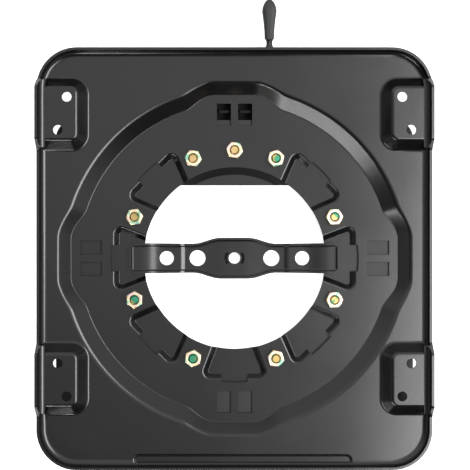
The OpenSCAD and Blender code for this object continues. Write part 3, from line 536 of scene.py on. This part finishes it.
def strap_skin():
    """The underside and outside of the tray as a grid of quads."""
    flat = STRAP_REACH - STRAP_BEND
    turns = [math.pi / 2 * i / 6 for i in range(1, 7)]
    along = [(x, 0.0, "flat") for x in np.linspace(-flat, flat, 161)]
    ends = [(flat + STRAP_BEND * math.sin(b), STRAP_BEND * (1 - math.cos(b)), "end") for b in turns]
    ends.append((STRAP_REACH, STRAP_RISE, "end"))
    along = [(-x, z, k) for x, z, k in reversed(ends)] + along + ends
    across = [(s, 0.0, 0.0, "flat") for s in np.linspace(-1, 1, 15)]
    sides = [(1, STRAP_BEND * math.sin(b), STRAP_BEND * (1 - math.cos(b)), "side") for b in turns]
    sides.append((1, STRAP_BEND, STRAP_RISE, "side"))
    across = [(-s, -y, z, k) for s, y, z, k in reversed(sides)] + across + sides
    skin = bmesh.new()
    grid = {}
    for i, (x, up, kind) in enumerate(along):
        base_x = max(-flat, min(flat, x))
        half = softened(STRAP_SIDE, base_x, SOFT_REACH) - STRAP_BEND
        in_crease = CREASE_FROM < abs(base_x) < CREASE_TO
        z0 = softened(STRAP_PATH, base_x, CREASE_REACH if in_crease else SOFT_REACH)
        for j, (s, y, z, side_kind) in enumerate(across):
            if kind == "end" and side_kind == "side":
                continue
            grid[i, j] = skin.verts.new((x * MM, (s * half + y) * MM, (z0 + up + z) * MM))
    for i in range(len(along) - 1):
        for j in range(len(across) - 1):
            keys = [(i, j), (i, j + 1), (i + 1, j + 1), (i + 1, j)]
            if all(k in grid for k in keys):
                skin.faces.new([grid[k] for k in keys])
    return from_bmesh("strap", skin)


def curved_slot(inner_r, inner_spread, outer_r, outer_spread, bottom, top):
    """Tool for a slot that curves round the axis, with its spreads in degrees to each side."""
    turns = [(inner_r, a) for a in range(inner_spread, -inner_spread - 1, -4)]
    turns += [(outer_r, a) for a in range(-outer_spread, outer_spread + 1, 3)]
    arc = [(r * math.cos(math.radians(a)), r * math.sin(math.radians(a))) for r, a in turns]
    return loft([lift(arc, bottom), lift(arc, top)])


def strap_tray():
    """The skin thickened inwards, with its holes punched."""
    tray = strap_skin()
    wall = tray.modifiers.new("sheet", "SOLIDIFY")
    wall.thickness = STRAP * MM
    wall.offset = -1
    wall.use_even_offset = True
    combine(tray, [], "UNION")
    below, above = 5, 30
    tools = [cylinder(x, 0, below, above, r, 64) for x, r in STRAP_HOLES]
    tools += [turned(curved_slot(8.55, 44, 11.45, 33, below, above), side) for side in (0, 180)]
    return combine(tray, tools, "DIFFERENCE")


cross_strap = sharpen(strap_tray(), 40)
cross_strap.name = "cross_strap_tray"
finish_edges(cross_strap, 0.3, 2, 50)
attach(cross_strap, "turntable")
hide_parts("cross_strap")
print("strap:", [round(v / MM, 1) for v in cross_strap.dimensions], "mm")

# %% [markdown]
# ## The clamp ring
# A flat steel ring under the recess floors. Behind its straight edge it is pressed down like a
# saucer, and that sloping wall is the black crescent over the grey segment in the middle hole; its
# black is painted shade, a darker and duller finish on the wall.
# The same section function draws the wall, and a straight block cuts the edge.

# %% Clamp ring
RING_T, RING_R, RING_HOLE_R, RING_CHORD = 3.5, 155.0, 106.5, 83.0
SAUCER_R, SAUCER_RUN, SAUCER_DEPTH = 95.5, 7.5, 6.0


def saucer(under, top):
    """The pressed middle of the ring, or what is taken out above it."""
    section = bend(SAUCER_RUN, SAUCER_DEPTH, 0.8, 1.5, under, 5)
    rings = [circle(SAUCER_R + x, RING_TOP - SAUCER_DEPTH + z) for x, z in section]
    return loft(rings + [circle(SAUCER_R + section[-1][0], top)])


def ring_blank():
    """Ring, saucer, straight-edged hole and bolt holes."""
    ring = cylinder(0, 0, RING_TOP - RING_T, RING_TOP, RING_R, 180)
    combine(ring, [saucer(RING_T, RING_TOP - 0.5)], "UNION")
    combine(ring, [saucer(0, RING_TOP + 1)], "DIFFERENCE")
    half = math.degrees(math.asin(RING_CHORD / RING_HOLE_R))
    turns = [math.radians(180 - half + (180 + 2 * half) * i / 120) for i in range(121)]
    hole = [(RING_HOLE_R * math.cos(a), RING_HOLE_R * math.sin(a)) for a in turns]
    tools = [loft([lift(hole, 0), lift(hole, RING_TOP + 1)])]
    tools += [turned(cylinder(BOLT_CIRCLE, 0, 5, RING_TOP + 1, BOLT_HOLE_R, 32), t)
              for t in BOLT_TURNS]
    return combine(ring, tools, "DIFFERENCE")


clamp_ring = sharpen(tidy_flats(ring_blank()), 35)
clamp_ring.name = "clamp_ring_pressed"
finish_edges(clamp_ring, 0.4, 2, 50)
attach(clamp_ring, "turntable")
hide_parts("clamp_ring")
print("clamp ring:", len(clamp_ring.data.polygons), "faces")

# %% [markdown]
# ## The cable bush
# A moulded bush clips into the two curved slots beside the strap's middle hole. Its slots go
# deep, so they look black from above, and only the tip of its hook catches the light.

# %% Cable bush
BUSH_R, BUSH_HOLE_R, BUSH_DEEP = 14.5, 6.5, 7.0
HOOK_X, HOOK_Y, HOOK_R, HOOK_PROUD = -10.0, -3.2, 0.7, 1.6


def bush():
    """Collar under the strap, with a deep pocket under each slot and a hook in it."""
    top = LOW + 1
    bottom = top - BUSH_DEEP
    body = cylinder(0, 0, bottom, top, BUSH_R, 96)
    pockets = [turned(curved_slot(8.2, 48, 11.8, 36, bottom + 1, top + 1), t) for t in (0, 180)]
    combine(body, pockets + [cylinder(0, 0, 0, top + 1, BUSH_HOLE_R, 64)], "DIFFERENCE")
    hook = cylinder(HOOK_X, HOOK_Y, bottom + 0.5, top + HOOK_PROUD, HOOK_R, 16)
    return combine(body, [hook], "UNION")


cable_bush = sharpen(bush(), 40)
cable_bush.name = "cable_bush_collar"
finish_edges(cable_bush, 0.25, 2, 50)
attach(cable_bush, "turntable")
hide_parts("cable_bush")
print("bush:", len(cable_bush.data.polygons), "faces")

# %% [markdown]
# ## Nuts and bolts
# Nine M10 bolts hold the clamp ring, and their nuts are the only bright things on the base. A
# pressed hexagon has its corners turned off by a cone, so each face ends in a curve: the solid
# is a hexagonal bar cut to what a lathe section leaves. The thread is a helix only where it can
# be seen, above the nut, and it runs out in a chamfered tip.

# %% Hexagons and threads
FLATS, NUT_H, HEAD_H, BOLT_R, PITCH = 17.0, 8.4, 6.4, 5.0, 1.5
NUT_TURNS = (20, 40, 8, 0, 30, 7, 15, 55, 25)
CORNER_R = FLATS / 2 / math.cos(math.radians(30))
THREAD_DEPTH, TIP_FADE, TIP_CHAMFER, TIP_PROUD = 0.55, 1.5, 1.3, 2.2


def hexagon(h, low_bevel, high_bevel):
    """Hexagonal bar with its corners turned off at one end or both."""
    bar = cylinder(0, 0, 0, h, CORNER_R, 6)
    rise, face_r, clear_r = 0.95, FLATS / 2 - 0.25, CORNER_R + 0.02
    section = [(face_r if low_bevel else CORNER_R + 1, 0),
               (clear_r, rise if low_bevel else h / 3),
               (clear_r, h - rise if high_bevel else h * 2 / 3),
               (face_r if high_bevel else CORNER_R + 1, h)]
    return combine(bar, [loft([circle(r, z, 96) for r, z in section])], "INTERSECT")


def thread(z0, z1, steps=48):
    """Threaded bar end: the radius follows the pitch up and round."""
    rings = []
    rows = int((z1 - z0) / PITCH * 10)
    for k in range(rows + 1):
        z = z0 + (z1 - z0) * k / rows
        ring = []
        for i in range(steps):
            phase = (z / PITCH - i / steps) % 1
            groove = THREAD_DEPTH * min(1, 2.2 * abs(phase - 0.5) ** 1.2 * 2)
            fade = min(1, (z1 - z) / TIP_FADE)
            r = min(BOLT_R - THREAD_DEPTH + groove, BOLT_R - TIP_CHAMFER * (1 - fade))
            a = 2 * math.pi * i / steps
            ring.append((r * math.cos(a), r * math.sin(a), z))
        rings.append(ring)
    return loft(rings)


def moved(obj, x, y, z, degrees=0.0):
    """The solid turned about its own axis and set down on the base."""
    spin = Matrix.Rotation(math.radians(degrees), 4, "Z")
    obj.data.transform(Matrix.Translation((x * MM, y * MM, z * MM)) @ spin)
    return obj


def joined(name, parts):
    """Several solids as one mesh object."""
    work = bmesh.new()
    for part in parts:
        work.from_mesh(part.data)
        remove(part)
    return from_bmesh(name, work)


def ring_nut():
    """Nut with a countersunk hole."""
    hole = cylinder(0, 0, -1, NUT_H + 1, BOLT_R + 0.05, 48)
    countersink = cylinder(0, 0, NUT_H - 1.0, NUT_H + 0.3, BOLT_R - 0.1, 48, BOLT_R + 0.95)
    return combine(hexagon(NUT_H, False, True), [hole, countersink], "DIFFERENCE")


def ring_bolt():
    """Head below the clamp ring, shank, and a threaded tip just above the nut."""
    tip = DISH_TOP + NUT_H + TIP_PROUD
    head = moved(hexagon(HEAD_H, True, False), 0, 0, RING_TOP - RING_T - HEAD_H)
    shank = cylinder(0, 0, RING_TOP - 4, tip - 4, BOLT_R, 48)
    return combine(head, [shank, thread(tip - 4.2, tip)], "UNION")


places = [(BOLT_CIRCLE * math.cos(math.radians(t)), BOLT_CIRCLE * math.sin(math.radians(t)), t)
          for t in BOLT_TURNS]
nuts = joined("hex_nuts", [moved(ring_nut(), x, y, DISH_TOP, t + own_turn)
                           for (x, y, t), own_turn in zip(places, NUT_TURNS)])
bolts = joined("hex_bolts", [moved(ring_bolt(), x, y, 0, t * 1.7) for x, y, t in places])
for piece, node in ((nuts, "ring_nuts"), (bolts, "ring_bolts")):
    sharpen(tidy_flats(piece), 28)
    finish_edges(piece, 0.18, 2, 28)
    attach(piece, "turntable")
    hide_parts(node)
print("nuts:", len(nuts.data.polygons), "faces, bolts:", len(bolts.data.polygons))

# %% [markdown]
# ## The grip
# A soft sleeve of moulded rubber on the end of the lever. Its section is a rounded rectangle
# that swells towards the finger end and closes in a blunt nose. It is lofted through rings that
# crowd where the nose curves most. A narrow-waisted collar joins it to the lever's arm. Both are
# drawn upright, and then laid along the lever with its droop and the latch's turn at rest.

# %% Grip
GRIP_Y, GRIP_L, GRIP_W, GRIP_NECK, GRIP_FLAT, WIDEST_AT = 249.0, 45.0, 16.6, 5.4, 0.78, 0.69
DROOP, ARM_T, LEVER_X = 2.5, 4.0, 39.5
PIN_Z, TRAVEL, LATCH_TOP, TAB_END = 10.0, 9.0, 10.0, 227.0
WAIST_R, COLLAR_R, COLLAR_L, COLLAR_FLAT = 3.3, 4.5, 12.5, 0.8


def grip_half(t):
    """Half width of the grip along its length, from 0 to 1."""
    swell = min(t / WIDEST_AT, 1) ** 1.7
    nose = max((t - WIDEST_AT) / 0.31, 0)
    return (GRIP_NECK + (GRIP_W / 2 - GRIP_NECK) * swell) * math.sqrt(max(1 - nose ** 1.7, 0.03))


def along_lever(obj):
    """Lays a solid drawn upright along the lever, from where the grip starts."""
    fall = math.tan(math.radians(DROOP)) * (GRIP_Y - TAB_END - 2)
    tilt = Matrix.Rotation(math.radians(-90 - DROOP), 4, "X")
    start = Matrix.Translation((LEVER_X * MM, GRIP_Y * MM, (LATCH_TOP + ARM_T / 2 - fall) * MM))
    obj.data.transform(start @ tilt)
    pin = Vector((0, PIN_Y * MM, PIN_Z * MM))
    swing = Matrix.Rotation(math.radians(TRAVEL), 4, "X")
    obj.data.transform(Matrix.Translation(pin) @ swing @ Matrix.Translation(-pin))
    return obj


def neck_mesh(steps=14, around=24):
    """Hourglass collar between the grip and the plate."""
    rings = []
    for k in range(steps + 1):
        along = COLLAR_L * k / steps - 12.2
        half = min(WAIST_R + 1.2 * (along / 4.2 + 1) ** 2, COLLAR_R)
        turns = [2 * math.pi * i / around for i in range(around)]
        rings.append([(half * math.cos(a), COLLAR_FLAT * half * math.sin(a), along) for a in turns])
    return along_lever(loft(rings))


def grip_mesh(steps=26, around=32):
    """Rings along the lever, as wide as the photograph shows and a little flatter."""
    rings = []
    for k in range(steps + 1):
        t = 1 - (1 - k / steps) ** 1.7
        half = grip_half(t)
        ring = []
        for i in range(around):
            a = 2 * math.pi * i / around
            squared = 1 / (abs(math.cos(a)) ** 3.2 + abs(math.sin(a)) ** 3.2) ** (1 / 3.2)
            ring.append((half * squared * math.cos(a),
                         GRIP_FLAT * half * squared * math.sin(a), GRIP_L * t))
        rings.append(ring)
    return along_lever(loft(rings))


grip = grip_mesh()
grip.name = "rubber_grip"
finish_edges(sharpen(grip, 60), 0.5, 3, 60)
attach(grip, "latch")
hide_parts("lever_grip")
neck = neck_mesh()
neck.name = "grip_neck"
finish_edges(sharpen(neck, 60), 0.3, 2, 60)
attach(neck, "latch")
print("grip:", [round(v / MM, 1) for v in grip.dimensions], "mm")

# %% [markdown]
# ## Colours and nodes
# A colour is written as the eye reads it on a screen, so one function turns it to the linear
# light that the renderer counts in. One more function adds a node with its settings and links.

# %% Material helpers
def linear(code):
    """sRGB hex colour as linear RGBA."""
    parts = [int(code[i:i + 2], 16) / 255 for i in (1, 3, 5)]
    light = [c / 12.92 if c <= 0.04045 else ((c + 0.055) / 1.055) ** 2.4 for c in parts]
    return (*light, 1.0)


def add(tree, kind, values=None, links=None, **settings):
    """A node with its settings, socket values and incoming links."""
    node = tree.nodes.new(kind)
    for key, value in settings.items():
        setattr(node, key, value)
    for socket, value in (values or {}).items():
        node.inputs[socket].default_value = value
    for socket, source in (links or {}).items():
        tree.links.new(source, node.inputs[socket])
    return node


def new_material(name):
    """Empty material with its shader, and the object's own coordinates in metres."""
    material = bpy.data.materials.new(name)
    material.use_nodes = True
    tree = material.node_tree
    tree.nodes.clear()
    shader = add(tree, "ShaderNodeBsdfPrincipled")
    add(tree, "ShaderNodeOutputMaterial", links={"Surface": shader.outputs["BSDF"]})
    place = add(tree, "ShaderNodeTexCoord").outputs["Object"]
    return material, tree, shader, place


def per_metre(size_mm):
    """Texture scale at which one cell measures that many millimetres."""
    return 1 / (size_mm * MM)


def set_stops(band, stops):
    """Puts (position, hex colour) stops on a band of colour."""
    while len(band.elements) < len(stops):
        band.elements.new(0.5)
    for element, (position, code) in zip(band.elements, stops):
        element.position = position
        element.color = linear(code)


print("black reads as", [round(c, 4) for c in linear("#1b1b1d")[:3]])

# %% [markdown]
# ## Powder coat
# Black polyester powder is sprayed on dry and melted in an oven. It flows out to a semi-gloss
# skin with the faint waves that painters call orange peel, a few tenths of a millimetre deep in
# light only. Polyester has an IOR near 1.5. The lower plate has a thinner, flatter coat.

# %% Black powder coat
# real orange peel has waves of about 2 mm; 3.5 mm is the least that still shows at this distance
PEEL_MM, POWDER_MM, CLOUD_MM, POWDER_SHARE, POLYESTER_IOR = 3.5, 0.6, 70, 0.08, 1.5


def powder_coat(name, colour, spread, gloss, peel):
    """Semi-gloss coat: base colour, how far it varies, roughness, and depth of the waves in mm."""
    material, tree, shader, place = new_material(name)
    shader.inputs["IOR"].default_value = POLYESTER_IOR
    waves = add(tree, "ShaderNodeTexNoise",
                {"Scale": per_metre(PEEL_MM), "Detail": 2.0, "Roughness": 0.45}, {"Vector": place})
    grain = add(tree, "ShaderNodeTexNoise",
                {"Scale": per_metre(POWDER_MM), "Detail": 1.0}, {"Vector": place})
    cloud = add(tree, "ShaderNodeTexNoise",
                {"Scale": per_metre(CLOUD_MM), "Detail": 3.0}, {"Vector": place})
    tint = add(tree, "ShaderNodeValToRGB", links={"Fac": cloud.outputs["Fac"]})
    set_stops(tint.color_ramp, ((0.3, colour), (0.7, spread)))
    tree.links.new(tint.outputs["Color"], shader.inputs["Base Color"])
    rough = add(tree, "ShaderNodeMapRange",
                {"From Min": 0.3, "From Max": 0.7, "To Min": gloss - 0.02, "To Max": gloss + 0.03},
                {"Value": cloud.outputs["Fac"]})
    tree.links.new(rough.outputs["Result"], shader.inputs["Roughness"])
    fine = add(tree, "ShaderNodeBump", {"Strength": 1.0, "Distance": peel * POWDER_SHARE * MM},
               {"Height": grain.outputs["Fac"]})
    skin = add(tree, "ShaderNodeBump", {"Strength": 1.0, "Distance": peel * MM},
               {"Height": waves.outputs["Fac"], "Normal": fine.outputs["Normal"]})
    tree.links.new(skin.outputs["Normal"], shader.inputs["Normal"])
    return material


black_coat = powder_coat("powder_coat_black", "#0b0b0c", "#0d0d0e", 0.21, 0.02)
lower_coat = powder_coat("powder_coat_lower", "#121213", "#161617", 0.4, 0.02)
print("made", black_coat.name, "and", lower_coat.name)

# %% [markdown]
# ## Yellow zinc
# The nuts and bolts are zinc plated and then dipped in a chromate bath. The film is thin enough
# to make rainbow colours: mostly pale gold, with patches of pink and sea green. The colour is
# a ramp over a slow noise, so that each nut gets its own share of it.

# %% Zinc
CRYSTAL_MM, CRYSTAL_DEEP_MM = 0.8, 0.02  # coarser than real plating, so that it shows


def zinc(name, stops, roughness, size):
    """Plated steel: metal, tinted by its chromate film in patches of that many millimetres."""
    material, tree, shader, place = new_material(name)
    shader.inputs["Metallic"].default_value = 1.0
    film = add(tree, "ShaderNodeTexNoise",
               {"Scale": per_metre(size), "Detail": 1.0, "Distortion": 0.6}, {"Vector": place})
    tint = add(tree, "ShaderNodeValToRGB", links={"Fac": film.outputs["Fac"]})
    set_stops(tint.color_ramp, stops)
    tree.links.new(tint.outputs["Color"], shader.inputs["Base Color"])
    speck = add(tree, "ShaderNodeTexNoise",
                {"Scale": per_metre(CRYSTAL_MM), "Detail": 2.0}, {"Vector": place})
    rough = add(tree, "ShaderNodeMapRange",
                {"To Min": roughness - 0.06, "To Max": roughness + 0.08},
                {"Value": speck.outputs["Fac"]})
    tree.links.new(rough.outputs["Result"], shader.inputs["Roughness"])
    skin = add(tree, "ShaderNodeBump", {"Strength": 0.6, "Distance": CRYSTAL_DEEP_MM * MM},
               {"Height": speck.outputs["Fac"]})
    tree.links.new(skin.outputs["Normal"], shader.inputs["Normal"])
    return material


CREAM_FILM = ((0.34, "#86b49e"), (0.41, "#c9d0ae"), (0.48, "#d9cfb3"), (0.56, "#d6c298"),
              (0.63, "#d8bab2"))
GREEN_FILM = ((0.38, "#bda273"), (0.47, "#a8935c"), (0.52, "#35805f"), (0.62, "#458f74"))
yellow_zinc = zinc("zinc_yellow_chromate", CREAM_FILM, 0.42, 9)
tip_zinc = zinc("zinc_green_chromate", GREEN_FILM, 0.4, 24)
clear_zinc = zinc("zinc_clear", ((0.4, "#b9bdc2"), (0.6, "#c9ccd0")), 0.32, 12)
print("made three zincs")

# %% [markdown]
# ## Steel, plastic and rubber
# The clamp ring is hot rolled steel under a thin black coat, and the latch plate is phosphated:
# a matt grey-black skin of fine crystals. The glide rings are moulded nylon, filled with black,
# and the grip is a soft rubber sleeve with a fine spark-eroded grain. An even grain under a dull
# black suits all of these, so one function makes them from their own sizes and roughness.

# %% Other finishes
def fine_grained(name, colour, roughness, grain_mm, depth_mm, ior, specular=0.5):
    """Plastic, rubber or phosphated steel: a dull black with an even grain."""
    material, tree, shader, place = new_material(name)
    shader.inputs["Base Color"].default_value = linear(colour)
    shader.inputs["IOR"].default_value = ior
    shader.inputs["Specular IOR Level"].default_value = specular
    grain = add(tree, "ShaderNodeTexVoronoi", {"Scale": per_metre(grain_mm)}, {"Vector": place})
    blur = add(tree, "ShaderNodeTexNoise",
               {"Scale": per_metre(8 * grain_mm), "Detail": 2.0}, {"Vector": place})
    rough = add(tree, "ShaderNodeMapRange",
                {"To Min": roughness - 0.05, "To Max": roughness + 0.05},
                {"Value": blur.outputs["Fac"]})
    tree.links.new(rough.outputs["Result"], shader.inputs["Roughness"])
    skin = add(tree, "ShaderNodeBump", {"Strength": 1.0, "Distance": depth_mm * MM},
               {"Height": grain.outputs["Distance"]})
    tree.links.new(skin.outputs["Normal"], shader.inputs["Normal"])
    return material


def spring_steel():
    """Oil-tempered wire and its clip: dark grey metal, with the patchy gloss of its scale."""
    material, tree, shader, place = new_material("steel_spring")
    shader.inputs["Base Color"].default_value = linear("#6d6f73")
    shader.inputs["Metallic"].default_value = 1.0
    scale = add(tree, "ShaderNodeTexNoise",
                {"Scale": per_metre(0.7), "Detail": 2.0}, {"Vector": place})
    rough = add(tree, "ShaderNodeMapRange",
                {"To Min": 0.28, "To Max": 0.42}, {"Value": scale.outputs["Fac"]})
    tree.links.new(rough.outputs["Result"], shader.inputs["Roughness"])
    return material


ring_coat = powder_coat("paint_ring_black", "#0e0e0f", "#111112", 0.22, 0.015)
nylon = fine_grained("nylon_black", "#0b0b0b", 0.5, 0.5, 0.01, 1.53, 0.36)
rubber = fine_grained("rubber_grip_black", "#191a1b", 0.6, 0.6, 0.05, 1.5)
deep_black = fine_grained("nylon_deep_black", "#060606", 0.5, 0.5, 0.01, 1.5)
# phosphate black of the latch plate; it also paints the shade on the clamp ring's sloping wall
phosphate_and_shade_black = fine_grained("steel_phosphated_and_painted_shade", "#0a0a0b", 0.6, 0.7, 0.01, 1.5, 0.15)
wire = spring_steel()
print("made", ring_coat.name, nylon.name, rubber.name, wire.name)

# %% [markdown]
# ## Each piece in its finish
# The CAD nodes whose shape is right stay, and get their finish and a small bevel. The pieces
# made above get one finish each. Only the clamp ring has two: its sloping wall gets a darker,
# duller black as painted shade.

# %% Dress the pieces
# slopes of the faces on the clamp ring that get the painted shade
SHADE_WALL_STEEPEST, SHADE_WALL_FLATTEST = 0.2, 0.985


def dress(obj, material):
    """One material on the whole piece."""
    obj.data.materials.clear()
    obj.data.materials.append(material)


def paint_wall_shade(obj, material, inner, outer):
    """Painted shade: a darker, duller finish on the sloping faces between two distances from the
    axis.
    """
    obj.data.materials.append(material)
    for face in obj.data.polygons:
        r = math.hypot(face.center.x, face.center.y) / MM
        if inner < r < outer and SHADE_WALL_STEEPEST < face.normal.z < SHADE_WALL_FLATTEST:
            face.material_index = 1


def dress_node(node, material, width):
    """A CAD node in its real finish, with round edges where a width is given."""
    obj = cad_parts[node]
    for slot in obj.material_slots:
        slot.material = material
    if width:
        round_edges(obj, width)


for piece, material in (
        (upper_plate, black_coat), (cross_strap, black_coat), (lower_plate, lower_coat),
        (nuts, yellow_zinc), (bolts, tip_zinc), (grip, rubber),
        (neck, deep_black), (cable_bush, deep_black), (clamp_ring, ring_coat)):
    dress(piece, material)
# painted shade: the clamp ring's sloping wall gets the dull phosphate black, so that it reads as
# the dark crescent
paint_wall_shade(clamp_ring, phosphate_and_shade_black, SAUCER_R - 1, SAUCER_R + 9)
for node, material, width in (
        ("upper_glide_ring", nylon, 0.3), ("lower_glide_ring", nylon, 0.3),
        ("ring_spacers", clear_zinc, 0.3), ("latch_plate", phosphate_and_shade_black, 0.3),
        ("lever_arm", black_coat, 0.4), ("arm_rivets", clear_zinc, 0),
        ("ear_rivets", clear_zinc, 0), ("pivot_pin", clear_zinc, 0.3),
        ("pivot_clip", wire, 0.1), ("latch_spring", wire, 0),
        ("left_ear", lower_coat, 0.3), ("right_ear", lower_coat, 0.3)):
    dress_node(node, material, width)
print("dressed", len(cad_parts), "nodes")

# %% [markdown]
# ## Light and floor
# The big flats mirror a soft box over the right side. A low strip and a thin tube at the lower
# left draw the bright lines on the walls that face them. The room is dark towards the front and
# bright at the back, which the flats show as a slow change of grey. Room and floor are white to
# the camera, the floor is white to mirrors too, and it still carries the shadow.

# %% Studio
def area_light(name, at, aim, width, height, strength, turn=0.0):
    """Rectangular lamp, turned about its beam, whose face has that brightness, where 1 is white."""
    lamp = bpy.data.lights.new(name, "AREA")
    lamp.shape = "RECTANGLE"
    lamp.size, lamp.size_y = width, height
    lamp.energy = strength * math.pi * width * height
    obj = add_object(name, lamp)
    obj.location = at
    facing = (Vector(aim) - Vector(at)).to_track_quat("-Z", "Y")
    obj.rotation_euler = (facing @ Quaternion((0, 0, 1), math.radians(turn))).to_euler()


def studio_world():
    """Soft room, dark towards the front, with a pale table round the sides and the back."""
    world = bpy.data.worlds.new("studio")
    world.use_nodes = True
    tree = world.node_tree
    tree.nodes.clear()
    place = add(tree, "ShaderNodeTexCoord").outputs["Generated"]
    x, y, z = add(tree, "ShaderNodeSeparateXYZ", links={"Vector": place}).outputs
    back = add(tree, "ShaderNodeMath", {1: 0.5}, {0: x, 2: y}, operation="MULTIPLY_ADD").outputs[0]
    parts = []
    for source, low, high, at_low, at_high in (
            (back, -0.55, 0.1, 0.02, 1.15), (z, -0.1, 0.95, 0.75, 1.12),   # room
            (z, 0.15, 0.35, 0.6, 0.0), (y, -0.75, -0.35, 0.0, 1.0)):       # table
        step = add(tree, "ShaderNodeMapRange",
                   {"From Min": low, "From Max": high, "To Min": at_low, "To Max": at_high},
                   {"Value": source}, interpolation_type="SMOOTHSTEP")
        parts.append(step.outputs["Result"])
    room = add(tree, "ShaderNodeMath", links={0: parts[0], 1: parts[1]}, operation="MULTIPLY")
    table = add(tree, "ShaderNodeMath", links={0: parts[2], 1: parts[3]}, operation="MULTIPLY")
    light = add(tree, "ShaderNodeMath",
                links={0: room.outputs[0], 1: table.outputs[0]}, operation="MAXIMUM")
    seen = add(tree, "ShaderNodeLightPath").outputs["Is Camera Ray"]
    strength = add(tree, "ShaderNodeMath",
                   links={0: light.outputs[0], 1: seen}, operation="MAXIMUM")
    sky = add(tree, "ShaderNodeBackground",
              {"Color": linear("#ffffff")}, {"Strength": strength.outputs[0]})
    add(tree, "ShaderNodeOutputWorld", links={"Surface": sky.outputs["Background"]})
    bpy.context.scene.world = world


FLOOR_REACH, FLOOR_Z, PAPER_GLOW = 3000, -0.2, 0.8


def studio_floor():
    """White sheet that the base lies on."""
    corners = [(sx * FLOOR_REACH, sy * FLOOR_REACH, FLOOR_Z)
               for sx, sy in ((-1, -1), (1, -1), (1, 1), (-1, 1))]
    floor = solid("floor", corners, [(0, 1, 2, 3)])
    material = bpy.data.materials.new("paper_white")
    material.use_nodes = True
    tree = material.node_tree
    tree.nodes.clear()
    paper = add(tree, "ShaderNodeBsdfDiffuse", {"Color": linear("#e6e6e6")})
    path = add(tree, "ShaderNodeLightPath")
    seen = path.outputs["Is Camera Ray"]
    for ray in ("Is Glossy Ray", "Is Transmission Ray"):
        both_rays = add(tree, "ShaderNodeMath", links={0: seen, 1: path.outputs[ray]},
                        operation="MAXIMUM")
        seen = both_rays.outputs[0]
    strength = add(tree, "ShaderNodeMath", {1: PAPER_GLOW}, {0: seen}, operation="MULTIPLY")
    glow = add(tree, "ShaderNodeEmission",
               {"Color": linear("#ffffff")}, {"Strength": strength.outputs[0]})
    both = add(tree, "ShaderNodeAddShader",
               links={0: paper.outputs["BSDF"], 1: glow.outputs["Emission"]})
    add(tree, "ShaderNodeOutputMaterial", links={"Surface": both.outputs["Shader"]})
    floor.data.materials.append(material)


studio_world()
studio_floor()
area_light("soft_box_right", (0.92, -0.1, 1.5), (0.8, -0.1, 0.0), 1.6, 0.92, 10.3, -7)
area_light("strip_lower_left", (-0.62, -0.97, 0.38), (0, 0, 0.03), 0.9, 0.14, 11.0)
area_light("tube_lower_left", (-0.6, -0.94, 0.58), (0, 0, 0.03), 0.9, 0.035, 42.0)
print("studio ready")

# %% [markdown]
# ## Camera
# It looks straight down from 1.3 m over the plate, as the photograph was taken. The lens follows
# from the millimetres that one pixel covers there, and the camera stands over the middle of the
# picture, which is not the middle of the plate, because the lever reaches out at the top.

# %% Camera
CAMERA_ABOVE_FACE, PIXEL, FRAME_PX, SENSOR = 1300.0, 1.12, 470, 36
RIGHT_PX, UP_PX = 0.5, 23.5
camera = bpy.data.cameras.new("camera")
camera.sensor_width = SENSOR
camera.lens = SENSOR * CAMERA_ABOVE_FACE / (FRAME_PX * PIXEL)
camera.clip_end = 20
camera_object = add_object("camera", camera)
camera_object.location = (RIGHT_PX * PIXEL * MM, UP_PX * PIXEL * MM,
                          (FACE + CAMERA_ABOVE_FACE) * MM)
bpy.context.scene.camera = camera_object
bpy.context.scene.view_settings.view_transform = "Standard"
print("lens", round(camera.lens, 1), "mm")
